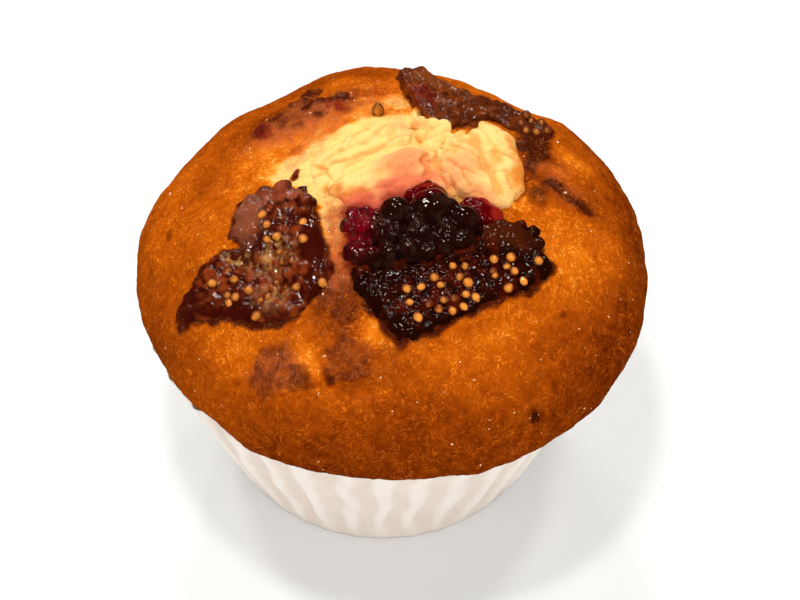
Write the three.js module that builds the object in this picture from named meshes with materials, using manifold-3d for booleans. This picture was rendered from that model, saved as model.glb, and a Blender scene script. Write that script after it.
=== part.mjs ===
// A fruit muffin in a pleated paper case. The domed cake carries three pieces of baked fig, a cluster of dark
// berry, two pieces of red fruit and three lumps of baked cream cheese, each sunk a little into the crust.
// Millimetres, +Z up. The origin is the centre of the case's flat base, and the muffin's front faces -Y.

import * as THREE from "three";
import Module from "manifold-3d";

const wasm = await Module();
wasm.setup();

// Clearance kept between neighbouring solids.
const GAP = 0.3;

// The cake: a dome that stands on the case's rim and turns under in a rounded lip.
const CAKE = {
  rimRadius: 40,
  rimHeight: 36.5,
  topHeight: 55.2,
  sideRoundness: 2.1,
  crownRoundness: 1.95,
  leanX: 1.5,
  leanY: -0.1,
  lipHeight: 3.6,
  lipDepth: 2.4,
  around: 46,
  domeRings: 11,
  lipRings: 3,
};

// The rim isn't a true circle: each wave changes its radius by this share, so many times a turn.
const RIM_WAVES = [
  { turns: 2, cosine: -0.004, sine: -0.007 },
  { turns: 3, cosine: 0.003, sine: -0.006 },
  { turns: 4, cosine: 0.005, sine: 0.007 },
  { turns: 5, cosine: -0.008, sine: 0.007 },
];

// Swellings and hollows that the rise left in the crust.
const SWELLINGS = [
  { x: -5, y: 29, reachX: 7, reachY: 4.5, rise: 2 },
  { x: -16, y: 30, reachX: 6, reachY: 5, rise: -2.4 },
  { x: 20, y: 27, reachX: 5, reachY: 4, rise: -2 },
  { x: 29, y: 19.5, reachX: 4.5, reachY: 4.5, rise: 2 },
  { x: -13, y: 19, reachX: 6, reachY: 3, rise: 1.2 },
  { x: 26, y: 7, reachX: 6, reachY: 4, rise: 0.8 },
  { x: -5, y: -27, reachX: 7, reachY: 4, rise: -0.7 },
  { x: -14.5, y: -27.5, reachX: 4, reachY: 2.5, rise: -0.5 },
];

// The crust is torn open in the middle, where the cream cheese and the berry sit in a shallow crater.
const CRATER = { x: 5, y: 2.5, reachX: 12.5, reachY: 9.5, depth: 2.2 };

// The paper case: a thin shell with a flat base, a small round corner and straight pleats.
const CASE = {
  baseRadius: 26,
  topRadius: 37.4,
  height: 32,
  cornerRadius: 1.6,
  wall: 0.5,
  pleats: 36,
  pleatDepth: 0.55,
  stepsPerPleat: 4,
};

const COLOURS = {
  crust: 0xb8650f,
  paper: 0xf1e6dc,
  fig: 0x4a140a,
  berry: 0x1c0709,
  redFruit: 0x7d0d14,
  cream: 0xf0cf86,
};

function rimRadius(angle) {
  const share = RIM_WAVES.reduce((sum, wave) => {
    const turned = wave.turns * angle;
    return sum + wave.cosine * Math.cos(turned) + wave.sine * Math.sin(turned);
  }, 1);
  return CAKE.rimRadius * share;
}

function bell(x, y, spot) {
  return Math.exp(-(((x - spot.x) / spot.reachX) ** 2) - ((y - spot.y) / spot.reachY) ** 2);
}

// The dome's height over a point of the plan, before the crater is cut in it.
function domeHeight(x, y) {
  const dx = x - CAKE.leanX;
  const dy = y - CAKE.leanY;
  const share = Math.min(1, Math.hypot(dx, dy) / rimRadius(Math.atan2(dy, dx)));
  const crown = (1 - share ** CAKE.sideRoundness) ** (1 / CAKE.crownRoundness);
  const swelling = SWELLINGS.reduce((sum, spot) => sum + spot.rise * bell(x, y, spot), 0);
  return CAKE.rimHeight + (CAKE.topHeight - CAKE.rimHeight) * crown + swelling;
}

function crustHeight(x, y) {
  return domeHeight(x, y) - CRATER.depth * bell(x, y, CRATER);
}

// One ring of points. place(angle) gives each point, anticlockwise from above.
function ring(count, place) {
  return Array.from({ length: count }, (_, i) => place((2 * Math.PI * i) / count));
}

// A closed solid through rings of points that run from the foot outwards, up and over to the top.
function solidThrough(foot, rings, top) {
  const around = rings[0].length;
  const points = [foot, ...rings.flat(), top];
  const at = (r, i) => 1 + r * around + (i % around);
  const faces = [];
  for (let i = 0; i < around; i++) {
    faces.push(0, at(0, i + 1), at(0, i));
    for (let r = 0; r < rings.length - 1; r++) {
      faces.push(at(r, i), at(r, i + 1), at(r + 1, i + 1));
      faces.push(at(r, i), at(r + 1, i + 1), at(r + 1, i));
    }
    faces.push(points.length - 1, at(rings.length - 1, i), at(rings.length - 1, i + 1));
  }
  return solidOf(points.flatMap((p) => [p.x, p.y, p.z]), faces);
}

function solidOf(numbers, faces) {
  return new wasm.Manifold(
    new wasm.Mesh({
      numProp: 3,
      vertProperties: new Float32Array(numbers),
      triVerts: new Uint32Array(faces),
    }),
  );
}

function namedMesh(name, solid, colour, roughness) {
  const made = solid.getMesh();
  const geometry = new THREE.BufferGeometry();
  geometry.setAttribute("position", new THREE.BufferAttribute(new Float32Array(made.vertProperties), 3));
  geometry.setIndex(new THREE.BufferAttribute(new Uint32Array(made.triVerts), 1));
  geometry.computeVertexNormals();
  const material = new THREE.MeshStandardMaterial({ color: colour, roughness, metalness: 0 });
  const mesh = new THREE.Mesh(geometry, material);
  mesh.name = name;
  return mesh;
}

// The case's middle radius at a height: its wall is straight and leans outwards.
function caseRadius(height) {
  return CASE.baseRadius + ((CASE.topRadius - CASE.baseRadius) * height) / CASE.height;
}

// The whole cake, before room is cut in it for what lies on top.
function makeCake() {
  const wallAt = (height, corner) => {
    const radius = caseRadius(height) - CASE.wall - CASE.pleatDepth - GAP - corner;
    return ring(CAKE.around, (a) => new THREE.Vector3(radius * Math.cos(a), radius * Math.sin(a), height));
  };
  const rimAt = (a, inset, drop) => {
    const radius = rimRadius(a) - inset;
    const x = CAKE.leanX + radius * Math.cos(a);
    const y = CAKE.leanY + radius * Math.sin(a);
    return new THREE.Vector3(x, y, CAKE.rimHeight - drop);
  };
  const floor = CASE.wall + GAP;
  const rings = [
    wallAt(floor, CASE.cornerRadius),
    wallAt(floor + CASE.cornerRadius, 0),
    wallAt(CASE.height + GAP, 0),
  ];
  for (let i = 0; i < CAKE.lipRings; i++) {
    const turn = (Math.PI / 2) * (1 - i / CAKE.lipRings);
    const inset = CAKE.lipDepth * (1 - Math.cos(turn));
    rings.push(ring(CAKE.around, (a) => rimAt(a, inset, CAKE.lipHeight * Math.sin(turn))));
  }
  for (let i = 0; i < CAKE.domeRings; i++) {
    const share = Math.cos((Math.PI / 2) * (i / CAKE.domeRings)) ** (2 / CAKE.sideRoundness);
    rings.push(
      ring(CAKE.around, (a) => {
        const x = CAKE.leanX + share * rimRadius(a) * Math.cos(a);
        const y = CAKE.leanY + share * rimRadius(a) * Math.sin(a);
        return new THREE.Vector3(x, y, crustHeight(x, y));
      }),
    );
  }
  const foot = new THREE.Vector3(0, 0, floor);
  const apex = new THREE.Vector3(CAKE.leanX, CAKE.leanY, crustHeight(CAKE.leanX, CAKE.leanY));
  return solidThrough(foot, rings, apex);
}

// The pleated shell: out along the base, up the outer wall, over the edge and down the inner wall.
function makeCase() {
  const steps = CASE.pleats * CASE.stepsPerPleat;
  const wallRing = (radius, height, depth) =>
    ring(steps, (a) => {
      const r = radius + depth * Math.cos(CASE.pleats * a);
      return new THREE.Vector3(r * Math.cos(a), r * Math.sin(a), height);
    });
  const flat = CASE.baseRadius - CASE.cornerRadius;
  const rings = [
    wallRing(flat, 0, 0),
    wallRing(caseRadius(CASE.cornerRadius), CASE.cornerRadius, CASE.pleatDepth),
    wallRing(CASE.topRadius, CASE.height, CASE.pleatDepth),
    wallRing(CASE.topRadius - CASE.wall, CASE.height, CASE.pleatDepth),
    wallRing(caseRadius(CASE.cornerRadius) - CASE.wall, CASE.cornerRadius, CASE.pleatDepth),
    wallRing(flat - CASE.wall, CASE.wall, 0),
  ];
  return solidThrough(new THREE.Vector3(0, 0, 0), rings, new THREE.Vector3(0, 0, CASE.wall));
}

// A closed smooth outline, grown outwards by grow. The corners run clockwise from above.
function outlinePoints(corners, count, grow) {
  const curve = new THREE.CatmullRomCurve3(
    corners.toReversed().map(([x, y]) => new THREE.Vector3(x, y, 0)),
    true,
    "centripetal",
  );
  return Array.from({ length: count }, (_, i) => {
    const point = curve.getPoint(i / count);
    const along = curve.getTangent(i / count);
    return new THREE.Vector2(point.x + along.y * grow, point.y - along.x * grow);
  });
}

// A topping's underside is a little smaller than its outline.
const LOWER_EDGE_SHARE = 0.94;

// A piece that lies on the dome: its outline seen from above, how deep it is sunk, and its height over the
// dome at a plan point, where share runs from 0 in the middle to 1 at the edge.
function makeLying(piece, grow = 0) {
  const edge = outlinePoints(piece.outline, piece.around, grow);
  const middle = new THREE.Vector2(...piece.middle);
  const bottomAt = (x, y) => domeHeight(x, y) - piece.sink - grow;
  const topAt = (x, y, share) => domeHeight(x, y) + piece.height(x, y, share) + grow;
  const ringAt = (share, lift) =>
    edge.map((p) => {
      const at = middle.clone().lerp(p, share);
      return new THREE.Vector3(at.x, at.y, lift(at.x, at.y));
    });
  const bottom = ringAt(LOWER_EDGE_SHARE, bottomAt);
  const side = ringAt(1, (x, y) => domeHeight(x, y) + piece.edgeHeight);
  const top = piece.shares.map((share) => ringAt(share, (x, y) => topAt(x, y, share)));
  const foot = new THREE.Vector3(middle.x, middle.y, bottomAt(middle.x, middle.y));
  const crown = new THREE.Vector3(middle.x, middle.y, topAt(middle.x, middle.y, 0));
  return solidThrough(foot, [bottom, side, ...top], crown);
}

// How far a plan point lies to the left of the line from one point to another.
function leftOfLine(x, y, from, to) {
  const length = Math.hypot(to[0] - from[0], to[1] - from[1]);
  return ((to[0] - from[0]) * (y - from[1]) - (to[1] - from[1]) * (x - from[0])) / length;
}

// A rounded crown that falls to nothing at the edge.
function crown(share, fullness) {
  return (1 - share ** fullness) ** (1 / fullness);
}

// Where the rings of a topping's upper face lie, from its edge towards its middle.
const CUT_FACE_SHARES = [0.94, 0.82, 0.6, 0.32];
const CUSHION_SHARES = [0.95, 0.8, 0.55, 0.25];

// The left fig is cut open like a book: the fold runs from the notch in its back edge to the front.
const FIG_LEFT = {
  outline: [
    [-30.2, -17],
    [-29, -14.6],
    [-26.4, -11.2],
    [-23.9, -9.7],
    [-21.3, -10.4],
    [-22.2, -7],
    [-22, -3.4],
    [-20.4, -1],
    [-18, 0.4],
    [-15.3, 0.6],
    [-12.3, -0.9],
    [-10.6, -3.8],
    [-9.2, -8],
    [-8, -12],
    [-7.4, -15.2],
    [-8.2, -17.4],
    [-10.7, -20.6],
    [-14.2, -23.2],
    [-17.4, -23.3],
    [-20.2, -21.9],
    [-24.8, -20.2],
    [-29, -18.8],
  ],
  middle: [-16.2, -13.2],
  sink: 2,
  edgeHeight: 0.9,
  around: 40,
  shares: CUT_FACE_SHARES,
  height(x, y, share) {
    const fold = leftOfLine(x, y, [-21.6, -10], [-14, -19]);
    const valley = 1.1 * Math.exp(-((fold / 2.6) ** 2));
    const flank = 0.9 * Math.exp(-(((x + 11.5) / 2.4) ** 2));
    return 0.9 + 1.7 * crown(share, 5) + flank * (1 - share) - valley * (1 - 0.5 * share);
  },
};

// The front fig lies flat, its seedy cut face up, and runs back under the berry.
const FIG_FRONT = {
  outline: [
    [25.2, -13],
    [23.8, -15.6],
    [18.4, -19.6],
    [11.8, -23.2],
    [6.4, -26],
    [2.9, -27.4],
    [1, -26],
    [-0.4, -23.6],
    [-2.8, -21.2],
    [-4.2, -18.6],
    [-4.4, -16],
    [3, -13],
    [11, -10],
    [14.6, -8.2],
    [17.4, -6.8],
    [20.6, -6.9],
    [22.6, -8.4],
    [23.4, -11],
  ],
  middle: [9.5, -17],
  sink: 2,
  edgeHeight: 0.8,
  around: 40,
  shares: CUT_FACE_SHARES,
  height(x, y, share) {
    const pulp = 0.7 * Math.exp(-((leftOfLine(x, y, [0, -20.5], [22, -13]) / 3.2) ** 2));
    return 0.8 + 1.8 * crown(share, 5) - pulp * (1 - share ** 2);
  },
};

// The back fig is a strip that leans over the far slope, its near left end standing proud.
const FIG_BACK = {
  outline: [
    [3.2, 29.8],
    [7.4, 27],
    [13.6, 24.2],
    [18.2, 21.8],
    [22.4, 19.2],
    [26.6, 16],
    [26.2, 14.2],
    [21.6, 13.6],
    [16, 13.6],
    [12.6, 13.6],
    [9.6, 12.8],
    [6.8, 14],
    [5.4, 17.4],
    [3.6, 22.4],
    [2.2, 26.8],
  ],
  middle: [12.6, 19.6],
  sink: 2,
  edgeHeight: 0.6,
  around: 36,
  shares: CUT_FACE_SHARES,
  height(x, y, share) {
    const tip = 1.2 * bell(x, y, { x: 3.4, y: 27, reachX: 5, reachY: 5 });
    return 0.8 + 1.3 * crown(share, 4) + tip;
  },
};

// The left lump of cream cheese has long shallow folds.
const CREAM_LEFT = {
  outline: [
    [-9.4, -2.4],
    [-11.6, 0.2],
    [-12, 4],
    [-9.9, 7.8],
    [-7.2, 10.2],
    [-3.6, 13.6],
    [0.4, 14.6],
    [3.2, 15],
    [4.6, 12.4],
    [3.6, 8.6],
    [-0.5, 4.6],
    [-5, 1.8],
  ],
  middle: [-4, 6.4],
  sink: 3.4,
  edgeHeight: 0.2,
  around: 32,
  shares: CUSHION_SHARES,
  height(x, y, share) {
    const across = leftOfLine(x, y, [-12, 0], [4, 11]);
    return 0.3 + 1.9 * crown(share, 2.4) + 0.22 * Math.cos(across * 1.9);
  },
};

// The middle lump is a soft ridge that leans on the left one.
const CREAM_MIDDLE = {
  outline: [
    [-7.6, -1.6],
    [-6.6, 0.8],
    [-3.2, 3],
    [0.6, 6],
    [4.2, 8],
    [6.8, 7.8],
    [8.3, 4.6],
    [9.2, 1.6],
    [10.8, -1.4],
    [8.1, -3.8],
    [3.4, -4.4],
    [-0.5, -5.6],
    [-4.6, -4.2],
  ],
  middle: [2.6, 0.8],
  sink: 3.4,
  edgeHeight: 0.2,
  around: 32,
  shares: CUSHION_SHARES,
  height(x, y, share) {
    const ridge = leftOfLine(x, y, [-7, -1.6], [7, 6.6]);
    return 0.3 + 2.3 * crown(share, 2.4) + 1 * Math.exp(-((ridge / 2) ** 2)) * (1 - share ** 3);
  },
};

// The right lump is a plump cushion with a browned far edge.
const CREAM_RIGHT = {
  outline: [
    [9.1, 10],
    [13, 13.8],
    [16.4, 16.2],
    [18.6, 15],
    [20.5, 12],
    [21.2, 7],
    [21.5, 1.2],
    [19.6, -2.2],
    [17.4, -4.2],
    [13.2, -2.6],
    [10.8, -0.6],
    [9, 3.4],
  ],
  middle: [15.4, 6.6],
  sink: 3.4,
  edgeHeight: 0.6,
  around: 32,
  shares: CUSHION_SHARES,
  height(x, y, share) {
    const crease = 0.35 * Math.exp(-((leftOfLine(x, y, [12, 14], [17, -2]) / 1.2) ** 2));
    return 0.8 + 2.8 * crown(share, 2.8) - crease;
  },
};

// A flat-topped slice of red fruit between the berry and the right lump.
const RED_SLICE = {
  outline: [
    [11.2, -3.6],
    [13.2, -2.6],
    [17.6, -4.4],
    [17.2, -7],
    [14.4, -7.8],
    [12.2, -6.4],
  ],
  middle: [14.4, -5.2],
  sink: 2.4,
  edgeHeight: 1.4,
  around: 16,
  shares: [0.86, 0.5],
  height(x, y, share) {
    return 1.6 + 1.2 * crown(share, 3);
  },
};

// A smaller red piece that lies behind the berry.
const RED_BACK = {
  outline: [
    [3, -4],
    [4.6, -1.4],
    [6.8, -0.2],
    [8.8, -1.2],
    [9.8, -3.6],
    [6.4, -4.6],
  ],
  middle: [6.5, -2.6],
  sink: 2.4,
  edgeHeight: 1.2,
  around: 16,
  shares: [0.86, 0.5],
  height(x, y, share) {
    return 1.3 + 1.1 * crown(share, 3);
  },
};

// The berry is a baked cluster: a low core ringed by round lobes. lift is a lobe's centre over the dome.
const BERRY_LOBES = [
  { x: 1.8, y: -7.4, lift: 1.4, radius: 2.5 },
  { x: 7.6, y: -6.5, lift: 1.6, radius: 3 },
  { x: 11.9, y: -8.3, lift: 1.1, radius: 2.6 },
  { x: 4.7, y: -7.2, lift: 1.2, radius: 2.1 },
  { x: -2.6, y: -9, lift: 0.2, radius: 2.3 },
  { x: -3.6, y: -12, lift: 0.1, radius: 2.2 },
  { x: -2.6, y: -14.6, lift: 0.2, radius: 2.2 },
  { x: 1, y: -11, lift: 1.2, radius: 2.8 },
  { x: 5.2, y: -10.8, lift: 1.4, radius: 2.8 },
  { x: 9.3, y: -10.6, lift: 1.2, radius: 2.7 },
  { x: 12.2, y: -11.2, lift: 0.7, radius: 2.1 },
  { x: 0.7, y: -14.4, lift: 0.6, radius: 2.4 },
  { x: 4.2, y: -13.8, lift: 0.9, radius: 2.3 },
  { x: 7.8, y: -12.6, lift: 0.8, radius: 2.1 },
];

// The bed that the lobes stand in. Nothing of the berry reaches past the bed's outline.
const BERRY_BED = {
  outline: [
    [-5.8, -13],
    [-5.2, -9.2],
    [-2.4, -6.6],
    [1.6, -4.8],
    [4.8, -4.8],
    [7.6, -3.4],
    [10.6, -4.8],
    [13.8, -6.4],
    [14.7, -9.2],
    [13.4, -12.6],
    [8.6, -14.6],
    [4.4, -16.2],
    [0.6, -17],
    [-3.4, -16.8],
  ],
  middle: [4.4, -10.4],
  sink: 3,
  edgeHeight: 0.2,
  around: 32,
  shares: [0.75],
  height: () => 1.3,
};

// How far up the room over the bed reaches, past every lobe.
const BERRY_ROOM = { ...BERRY_BED, edgeHeight: 6, height: () => 7 };
const LOBE_STEPS = { around: 7, down: 5 };

function ballSolid(place, radius, around, down) {
  const rings = Array.from({ length: down - 1 }, (_, row) => {
    const polar = Math.PI * (1 - (row + 1) / down);
    const height = place.z + radius * Math.cos(polar);
    const reach = radius * Math.sin(polar);
    return ring(around, (a) => {
      return new THREE.Vector3(place.x + reach * Math.cos(a), place.y + reach * Math.sin(a), height);
    });
  });
  const pole = new THREE.Vector3(0, 0, radius);
  return solidThrough(place.clone().sub(pole), rings, place.clone().add(pole));
}

function makeBerry() {
  const { around, down } = LOBE_STEPS;
  const lobes = BERRY_LOBES.map((lobe) => {
    const place = new THREE.Vector3(lobe.x, lobe.y, domeHeight(lobe.x, lobe.y) + lobe.lift);
    return ballSolid(place, lobe.radius, around, down);
  });
  const whole = lobes.reduce((solid, lobe) => solid.add(lobe), makeLying(BERRY_BED));
  return whole.intersect(makeLying(BERRY_ROOM));
}

function makeMuffin() {
  // Later toppings give way to earlier ones where they meet.
  const toppings = [
    { name: "dark_berry", solid: makeBerry(), piece: BERRY_ROOM, colour: COLOURS.berry, roughness: 0.25 },
    { name: "red_fruit_slice", piece: RED_SLICE, colour: COLOURS.redFruit, roughness: 0.25 },
    { name: "red_fruit_back", piece: RED_BACK, colour: COLOURS.redFruit, roughness: 0.25 },
    { name: "fig_left", piece: FIG_LEFT, colour: COLOURS.fig, roughness: 0.3 },
    { name: "fig_front", piece: FIG_FRONT, colour: COLOURS.fig, roughness: 0.3 },
    { name: "cream_right", piece: CREAM_RIGHT, colour: COLOURS.cream, roughness: 0.6 },
    { name: "fig_back", piece: FIG_BACK, colour: COLOURS.fig, roughness: 0.3 },
    { name: "cream_middle", piece: CREAM_MIDDLE, colour: COLOURS.cream, roughness: 0.6 },
    { name: "cream_left", piece: CREAM_LEFT, colour: COLOURS.cream, roughness: 0.6 },
  ];
  const muffin = new THREE.Group();
  muffin.name = "muffin";
  let cake = makeCake();
  const rooms = [];
  for (const { name, piece, solid = makeLying(piece), colour, roughness } of toppings) {
    const left = rooms.reduce((rest, room) => rest.subtract(room), solid);
    muffin.add(namedMesh(name, left, colour, roughness));
    rooms.push(makeLying(piece, GAP));
    cake = cake.subtract(rooms.at(-1));
  }
  muffin.add(namedMesh("cake", cake, COLOURS.crust, 0.6));
  muffin.add(namedMesh("paper_case", makeCase(), COLOURS.paper, 0.8));
  return muffin;
}

export default makeMuffin();
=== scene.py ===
"""A fruit muffin in a pleated paper case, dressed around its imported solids.

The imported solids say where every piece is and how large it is. Each class here takes one sub-assembly, makes
its fine skin and gives it its finish. Lengths are in millimetres until a mesh is written, in metres.
"""

import enum
import itertools
import logging
import math
from collections.abc import Iterable
from dataclasses import astuple, dataclass, field
from typing import ClassVar

import bmesh
import bpy
import numpy as np
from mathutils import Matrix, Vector
from mathutils.bvhtree import BVHTree


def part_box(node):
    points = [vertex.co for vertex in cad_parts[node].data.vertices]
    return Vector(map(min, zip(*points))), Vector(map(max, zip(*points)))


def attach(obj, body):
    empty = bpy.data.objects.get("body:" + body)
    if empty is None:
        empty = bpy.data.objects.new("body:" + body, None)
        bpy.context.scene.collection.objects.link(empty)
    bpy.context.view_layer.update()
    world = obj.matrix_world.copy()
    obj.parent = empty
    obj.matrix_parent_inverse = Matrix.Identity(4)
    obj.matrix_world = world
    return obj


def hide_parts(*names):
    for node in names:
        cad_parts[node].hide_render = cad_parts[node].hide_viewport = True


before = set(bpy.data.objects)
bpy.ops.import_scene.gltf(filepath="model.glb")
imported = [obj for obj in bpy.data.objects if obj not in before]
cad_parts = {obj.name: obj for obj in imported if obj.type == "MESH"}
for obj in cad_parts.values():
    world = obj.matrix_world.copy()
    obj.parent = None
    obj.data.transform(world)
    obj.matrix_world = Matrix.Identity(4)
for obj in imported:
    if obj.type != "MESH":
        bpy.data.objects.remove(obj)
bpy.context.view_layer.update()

LOG = logging.getLogger("muffin")
BODY = "root"
MM = 0.001
PER_METRE = 1000.0

Array = np.ndarray
Colour = tuple[float, float, float, float]
Plan = tuple[float, float]
Material = bpy.types.Material
Mesh = bpy.types.Mesh
Piece = bpy.types.Object
Socket = bpy.types.NodeSocket
Tree = bpy.types.NodeTree


class Slot(enum.Enum):
    """The record's material slots."""

    CRUST = "crust"
    PAPER = "paper"
    FIG = "fig"
    BERRY = "berry"
    RED_FRUIT = "red_fruit"
    CREAM = "cream"


class Mark(enum.Enum):
    """What an area of a skin does to its looks. Each mark is an attribute that the finish reads."""

    BAKE = "bake"
    JAM = "jam"
    ROSE = "rose"
    WINE = "wine"
    RELIEF = "relief"
    PULP = "pulp"
    MUSH = "mush"
    SKIN = "skin"
    TONE = "tone"
    GIRTH = "girth"


Marks = dict[Mark, Array]
Relief = tuple[Array, Marks]


# -------------------- shapes in numbers


def srgb(*channels: int) -> Colour:
    """A colour as shown on a screen, 0 to 255 a channel, as the linear colour that shaders take."""
    shares = [channel / 255 for channel in channels]
    return (*(c / 12.92 if c <= 0.04045 else ((c + 0.055) / 1.055) ** 2.4 for c in shares), 1.0)


def unit(vectors: Array) -> Array:
    """The vectors, each one long."""
    return vectors / np.maximum(np.linalg.norm(vectors, axis=-1, keepdims=True), 1e-12)


def eased(low: float, high: float, value: Array) -> Array:
    """Runs smoothly from 0 at low to 1 at high, which may be less than low."""
    share = np.clip((value - low) / (high - low), 0.0, 1.0)
    return share * share * (3 - 2 * share)


def hump(value: Array, width: float) -> Array:
    """A smooth hill of height 1 around 0, that wide to each side."""
    return np.exp(-((value / width) ** 2))


def blurred(grid: Array, reach: float) -> Array:
    """Evens a grid out.

    Args:
        grid: The grid.
        reach: How far each cell spreads, in cells.

    Returns:
        The evened grid.
    """
    arms = int(3 * reach) + 1
    taps = hump(np.arange(-arms, arms + 1), reach * math.sqrt(2))
    taps /= taps.sum()
    result = grid
    for axis in (0, 1):
        padded = np.pad(result, [(arms, arms) if a == axis else (0, 0) for a in (0, 1)], mode="edge")
        length = result.shape[axis]
        result = sum(t * np.take(padded, range(i, i + length), axis) for i, t in enumerate(taps))
    return result


def healed(grid: Array, known: Array, reach: float, rounds: int) -> Array:
    """Fills the unknown cells from the known ones around them.

    Args:
        grid: The grid, with any value in its unknown cells.
        known: Which cells are known.
        reach: How far the first filling looks, in cells.
        rounds: How often the filling is evened out.

    Returns:
        The whole grid.
    """
    weight = blurred(known.astype(float), reach)
    filling = blurred(np.where(known, grid, 0.0), reach) / np.maximum(weight, 1e-9)
    result = np.where(known, grid, filling)
    for _ in range(rounds):
        around = sum(np.roll(result, step, axis) for axis in (0, 1) for step in (1, -1)) / 4
        result = np.where(known, grid, around)
    return result


def sampled(grid: Array, rows: Array, columns: Array) -> Array:
    """The grid's value between its cells.

    Args:
        grid: The grid.
        rows: Row places, in cells.
        columns: Column places, in cells.

    Returns:
        The value at each place, or at the nearest edge for a place outside.
    """
    rows = np.clip(rows, 0, grid.shape[0] - 1.001)
    columns = np.clip(columns, 0, grid.shape[1] - 1.001)
    r, c = rows.astype(int), columns.astype(int)
    dr, dc = rows - r, columns - c
    near = grid[r, c] * (1 - dc) + grid[r, c + 1] * dc
    far = grid[r + 1, c] * (1 - dc) + grid[r + 1, c + 1] * dc
    return near * (1 - dr) + far * dr


class Noise:
    """Smooth random waves and cells in space, the same in every run for one seed."""

    TABLE = 256
    GAIN = 1.7

    def __init__(self, seed: int) -> None:
        """Draws the tables.

        Args:
            seed: Which waves to draw.
        """
        draw = np.random.default_rng(seed)
        self._order = draw.permutation(self.TABLE)
        self._slopes = unit(draw.normal(size=(self.TABLE, 3)))
        self._spots = draw.random((self.TABLE, 3))
        self._picks = draw.random(self.TABLE)

    def _entry(self, cells: Array) -> Array:
        """The table row of each cell.

        Args:
            cells: The cells' lowest corners, in whole numbers.

        Returns:
            The rows.
        """
        order, wrap = self._order, self.TABLE
        first = order[cells[:, 0] % wrap]
        second = order[(first + cells[:, 1]) % wrap]
        return order[(second + cells[:, 2]) % wrap]

    def _wave(self, places: Array) -> Array:
        """One layer of gradient waves, with a wave in each unit cell.

        Args:
            places: Points in space, in wavelengths.

        Returns:
            The waves' height at each point.
        """
        base = np.floor(places).astype(int)
        part = places - base
        ease = part**3 * (part * (part * 6 - 15) + 10)
        total = np.zeros(len(places))
        for corner in itertools.product((0, 1), repeat=3):
            slope = self._slopes[self._entry(base + corner)]
            weight = np.prod(np.where(corner, ease, 1 - ease), axis=1)
            total += weight * np.einsum("ij,ij->i", slope, part - corner)
        return total * self.GAIN

    def waves(self, places: Array, length: float, layers: int = 1) -> Array:
        """Smooth waves.

        Args:
            places: Points in space.
            length: The wavelength.
            layers: How many layers, each half as long and half as high as the last.

        Returns:
            The wave's height at each point, about -1 to 1.
        """
        shift = 17.3
        return sum(
            self._wave(places * 2**layer / length + shift * layer) / 2**layer for layer in range(layers)
        )

    def bent(self, places: Array, length: float, reach: float) -> Array:
        """The points, each moved up to that reach by smooth waves of that length."""
        moves = [self._wave(places / length + shift) for shift in (0.0, 31.7, 67.1)]
        return places + reach * np.stack(moves, axis=1)

    def threads(self, places: Array, length: float, width: float) -> Array:
        """Thin curled ridges, 1 at their crests: about that far apart, and that wide as a share of it."""
        bent = self.bent(places, length * 1.7, length * 0.6)
        return hump(self._wave(bent / length), width)

    def sacs(self, places: Array, bend: float) -> Array:
        """Small swellings, such as juice sacs, from -0.5 between them to 0.5 on them, with bent edges."""
        nearest, second, _ = self.cells(self.bent(places, bend, 0.5), 1.5)
        return eased(0.0, 0.7, second - nearest) - 0.5

    def cells(self, places: Array, size: float) -> tuple[Array, Array, Array]:
        """Scattered spots, one in each cell of space.

        Args:
            places: Points in space.
            size: The cells' size.

        Returns:
            The distance to the nearest spot and to the next, and the nearest one's own number, 0 to 1.
        """
        scaled = places / size
        base = np.floor(scaled).astype(int)
        nearest = np.full(len(places), 9.0)
        second = np.full(len(places), 9.0)
        pick = np.zeros(len(places))
        for step in itertools.product((-1, 0, 1), repeat=3):
            cell = base + step
            entry = self._entry(cell)
            apart = np.linalg.norm(cell + self._spots[entry] - scaled, axis=1)
            closer = apart < nearest
            second = np.where(closer, nearest, np.minimum(second, apart))
            pick = np.where(closer, self._picks[entry], pick)
            nearest = np.where(closer, apart, nearest)
        return nearest * size, second * size, pick


@dataclass(frozen=True)
class Patch:
    """An oval or, with more corners, squarer area of a skin, seen from above, with an uneven edge."""

    UNEVENNESS: ClassVar[float] = 0.3

    mark: Mark
    x: float
    y: float
    reach_x: float
    reach_y: float
    turn: float = 0.0
    strength: float = 1.0
    edge: float = 0.3
    corners: float = 2.0

    def share(self, places: Array, uneven: Array) -> Array:
        """How much of the mark each point has.

        Args:
            places: Points in space.
            uneven: A wave at each point, which moves the patch's edge in and out.

        Returns:
            The share times the patch's strength.
        """
        turn = math.radians(self.turn)
        dx, dy = places[:, 0] - self.x, places[:, 1] - self.y
        along = np.abs(dx * math.cos(turn) + dy * math.sin(turn)) / self.reach_x
        across = np.abs(dy * math.cos(turn) - dx * math.sin(turn)) / self.reach_y
        away = (along**self.corners + across**self.corners) ** (1 / self.corners)
        return self.strength * eased(1 + self.edge, 1 - self.edge, away + self.UNEVENNESS * uneven)


def areas(mark: Mark, *rows: tuple[float, ...]) -> tuple[Patch, ...]:
    """Patches with one mark. Each row holds a patch's other values, in order."""
    return tuple(Patch(mark, *row) for row in rows)


def marked(patches: Iterable[Patch], kinds: Iterable[Mark], places: Array, uneven: Array) -> Marks:
    """What patches make of some kinds of mark. Where two patches of a kind meet, the stronger one holds.

    Args:
        patches: The patches. Those of other kinds are left out.
        kinds: The kinds of mark.
        places: Points in space.
        uneven: A wave at each point.

    Returns:
        The marks.
    """
    marks = {mark: np.zeros(len(places)) for mark in kinds}
    for patch in (patch for patch in patches if patch.mark in marks):
        marks[patch.mark] = np.maximum(marks[patch.mark], patch.share(places, uneven))
    return marks


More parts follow.
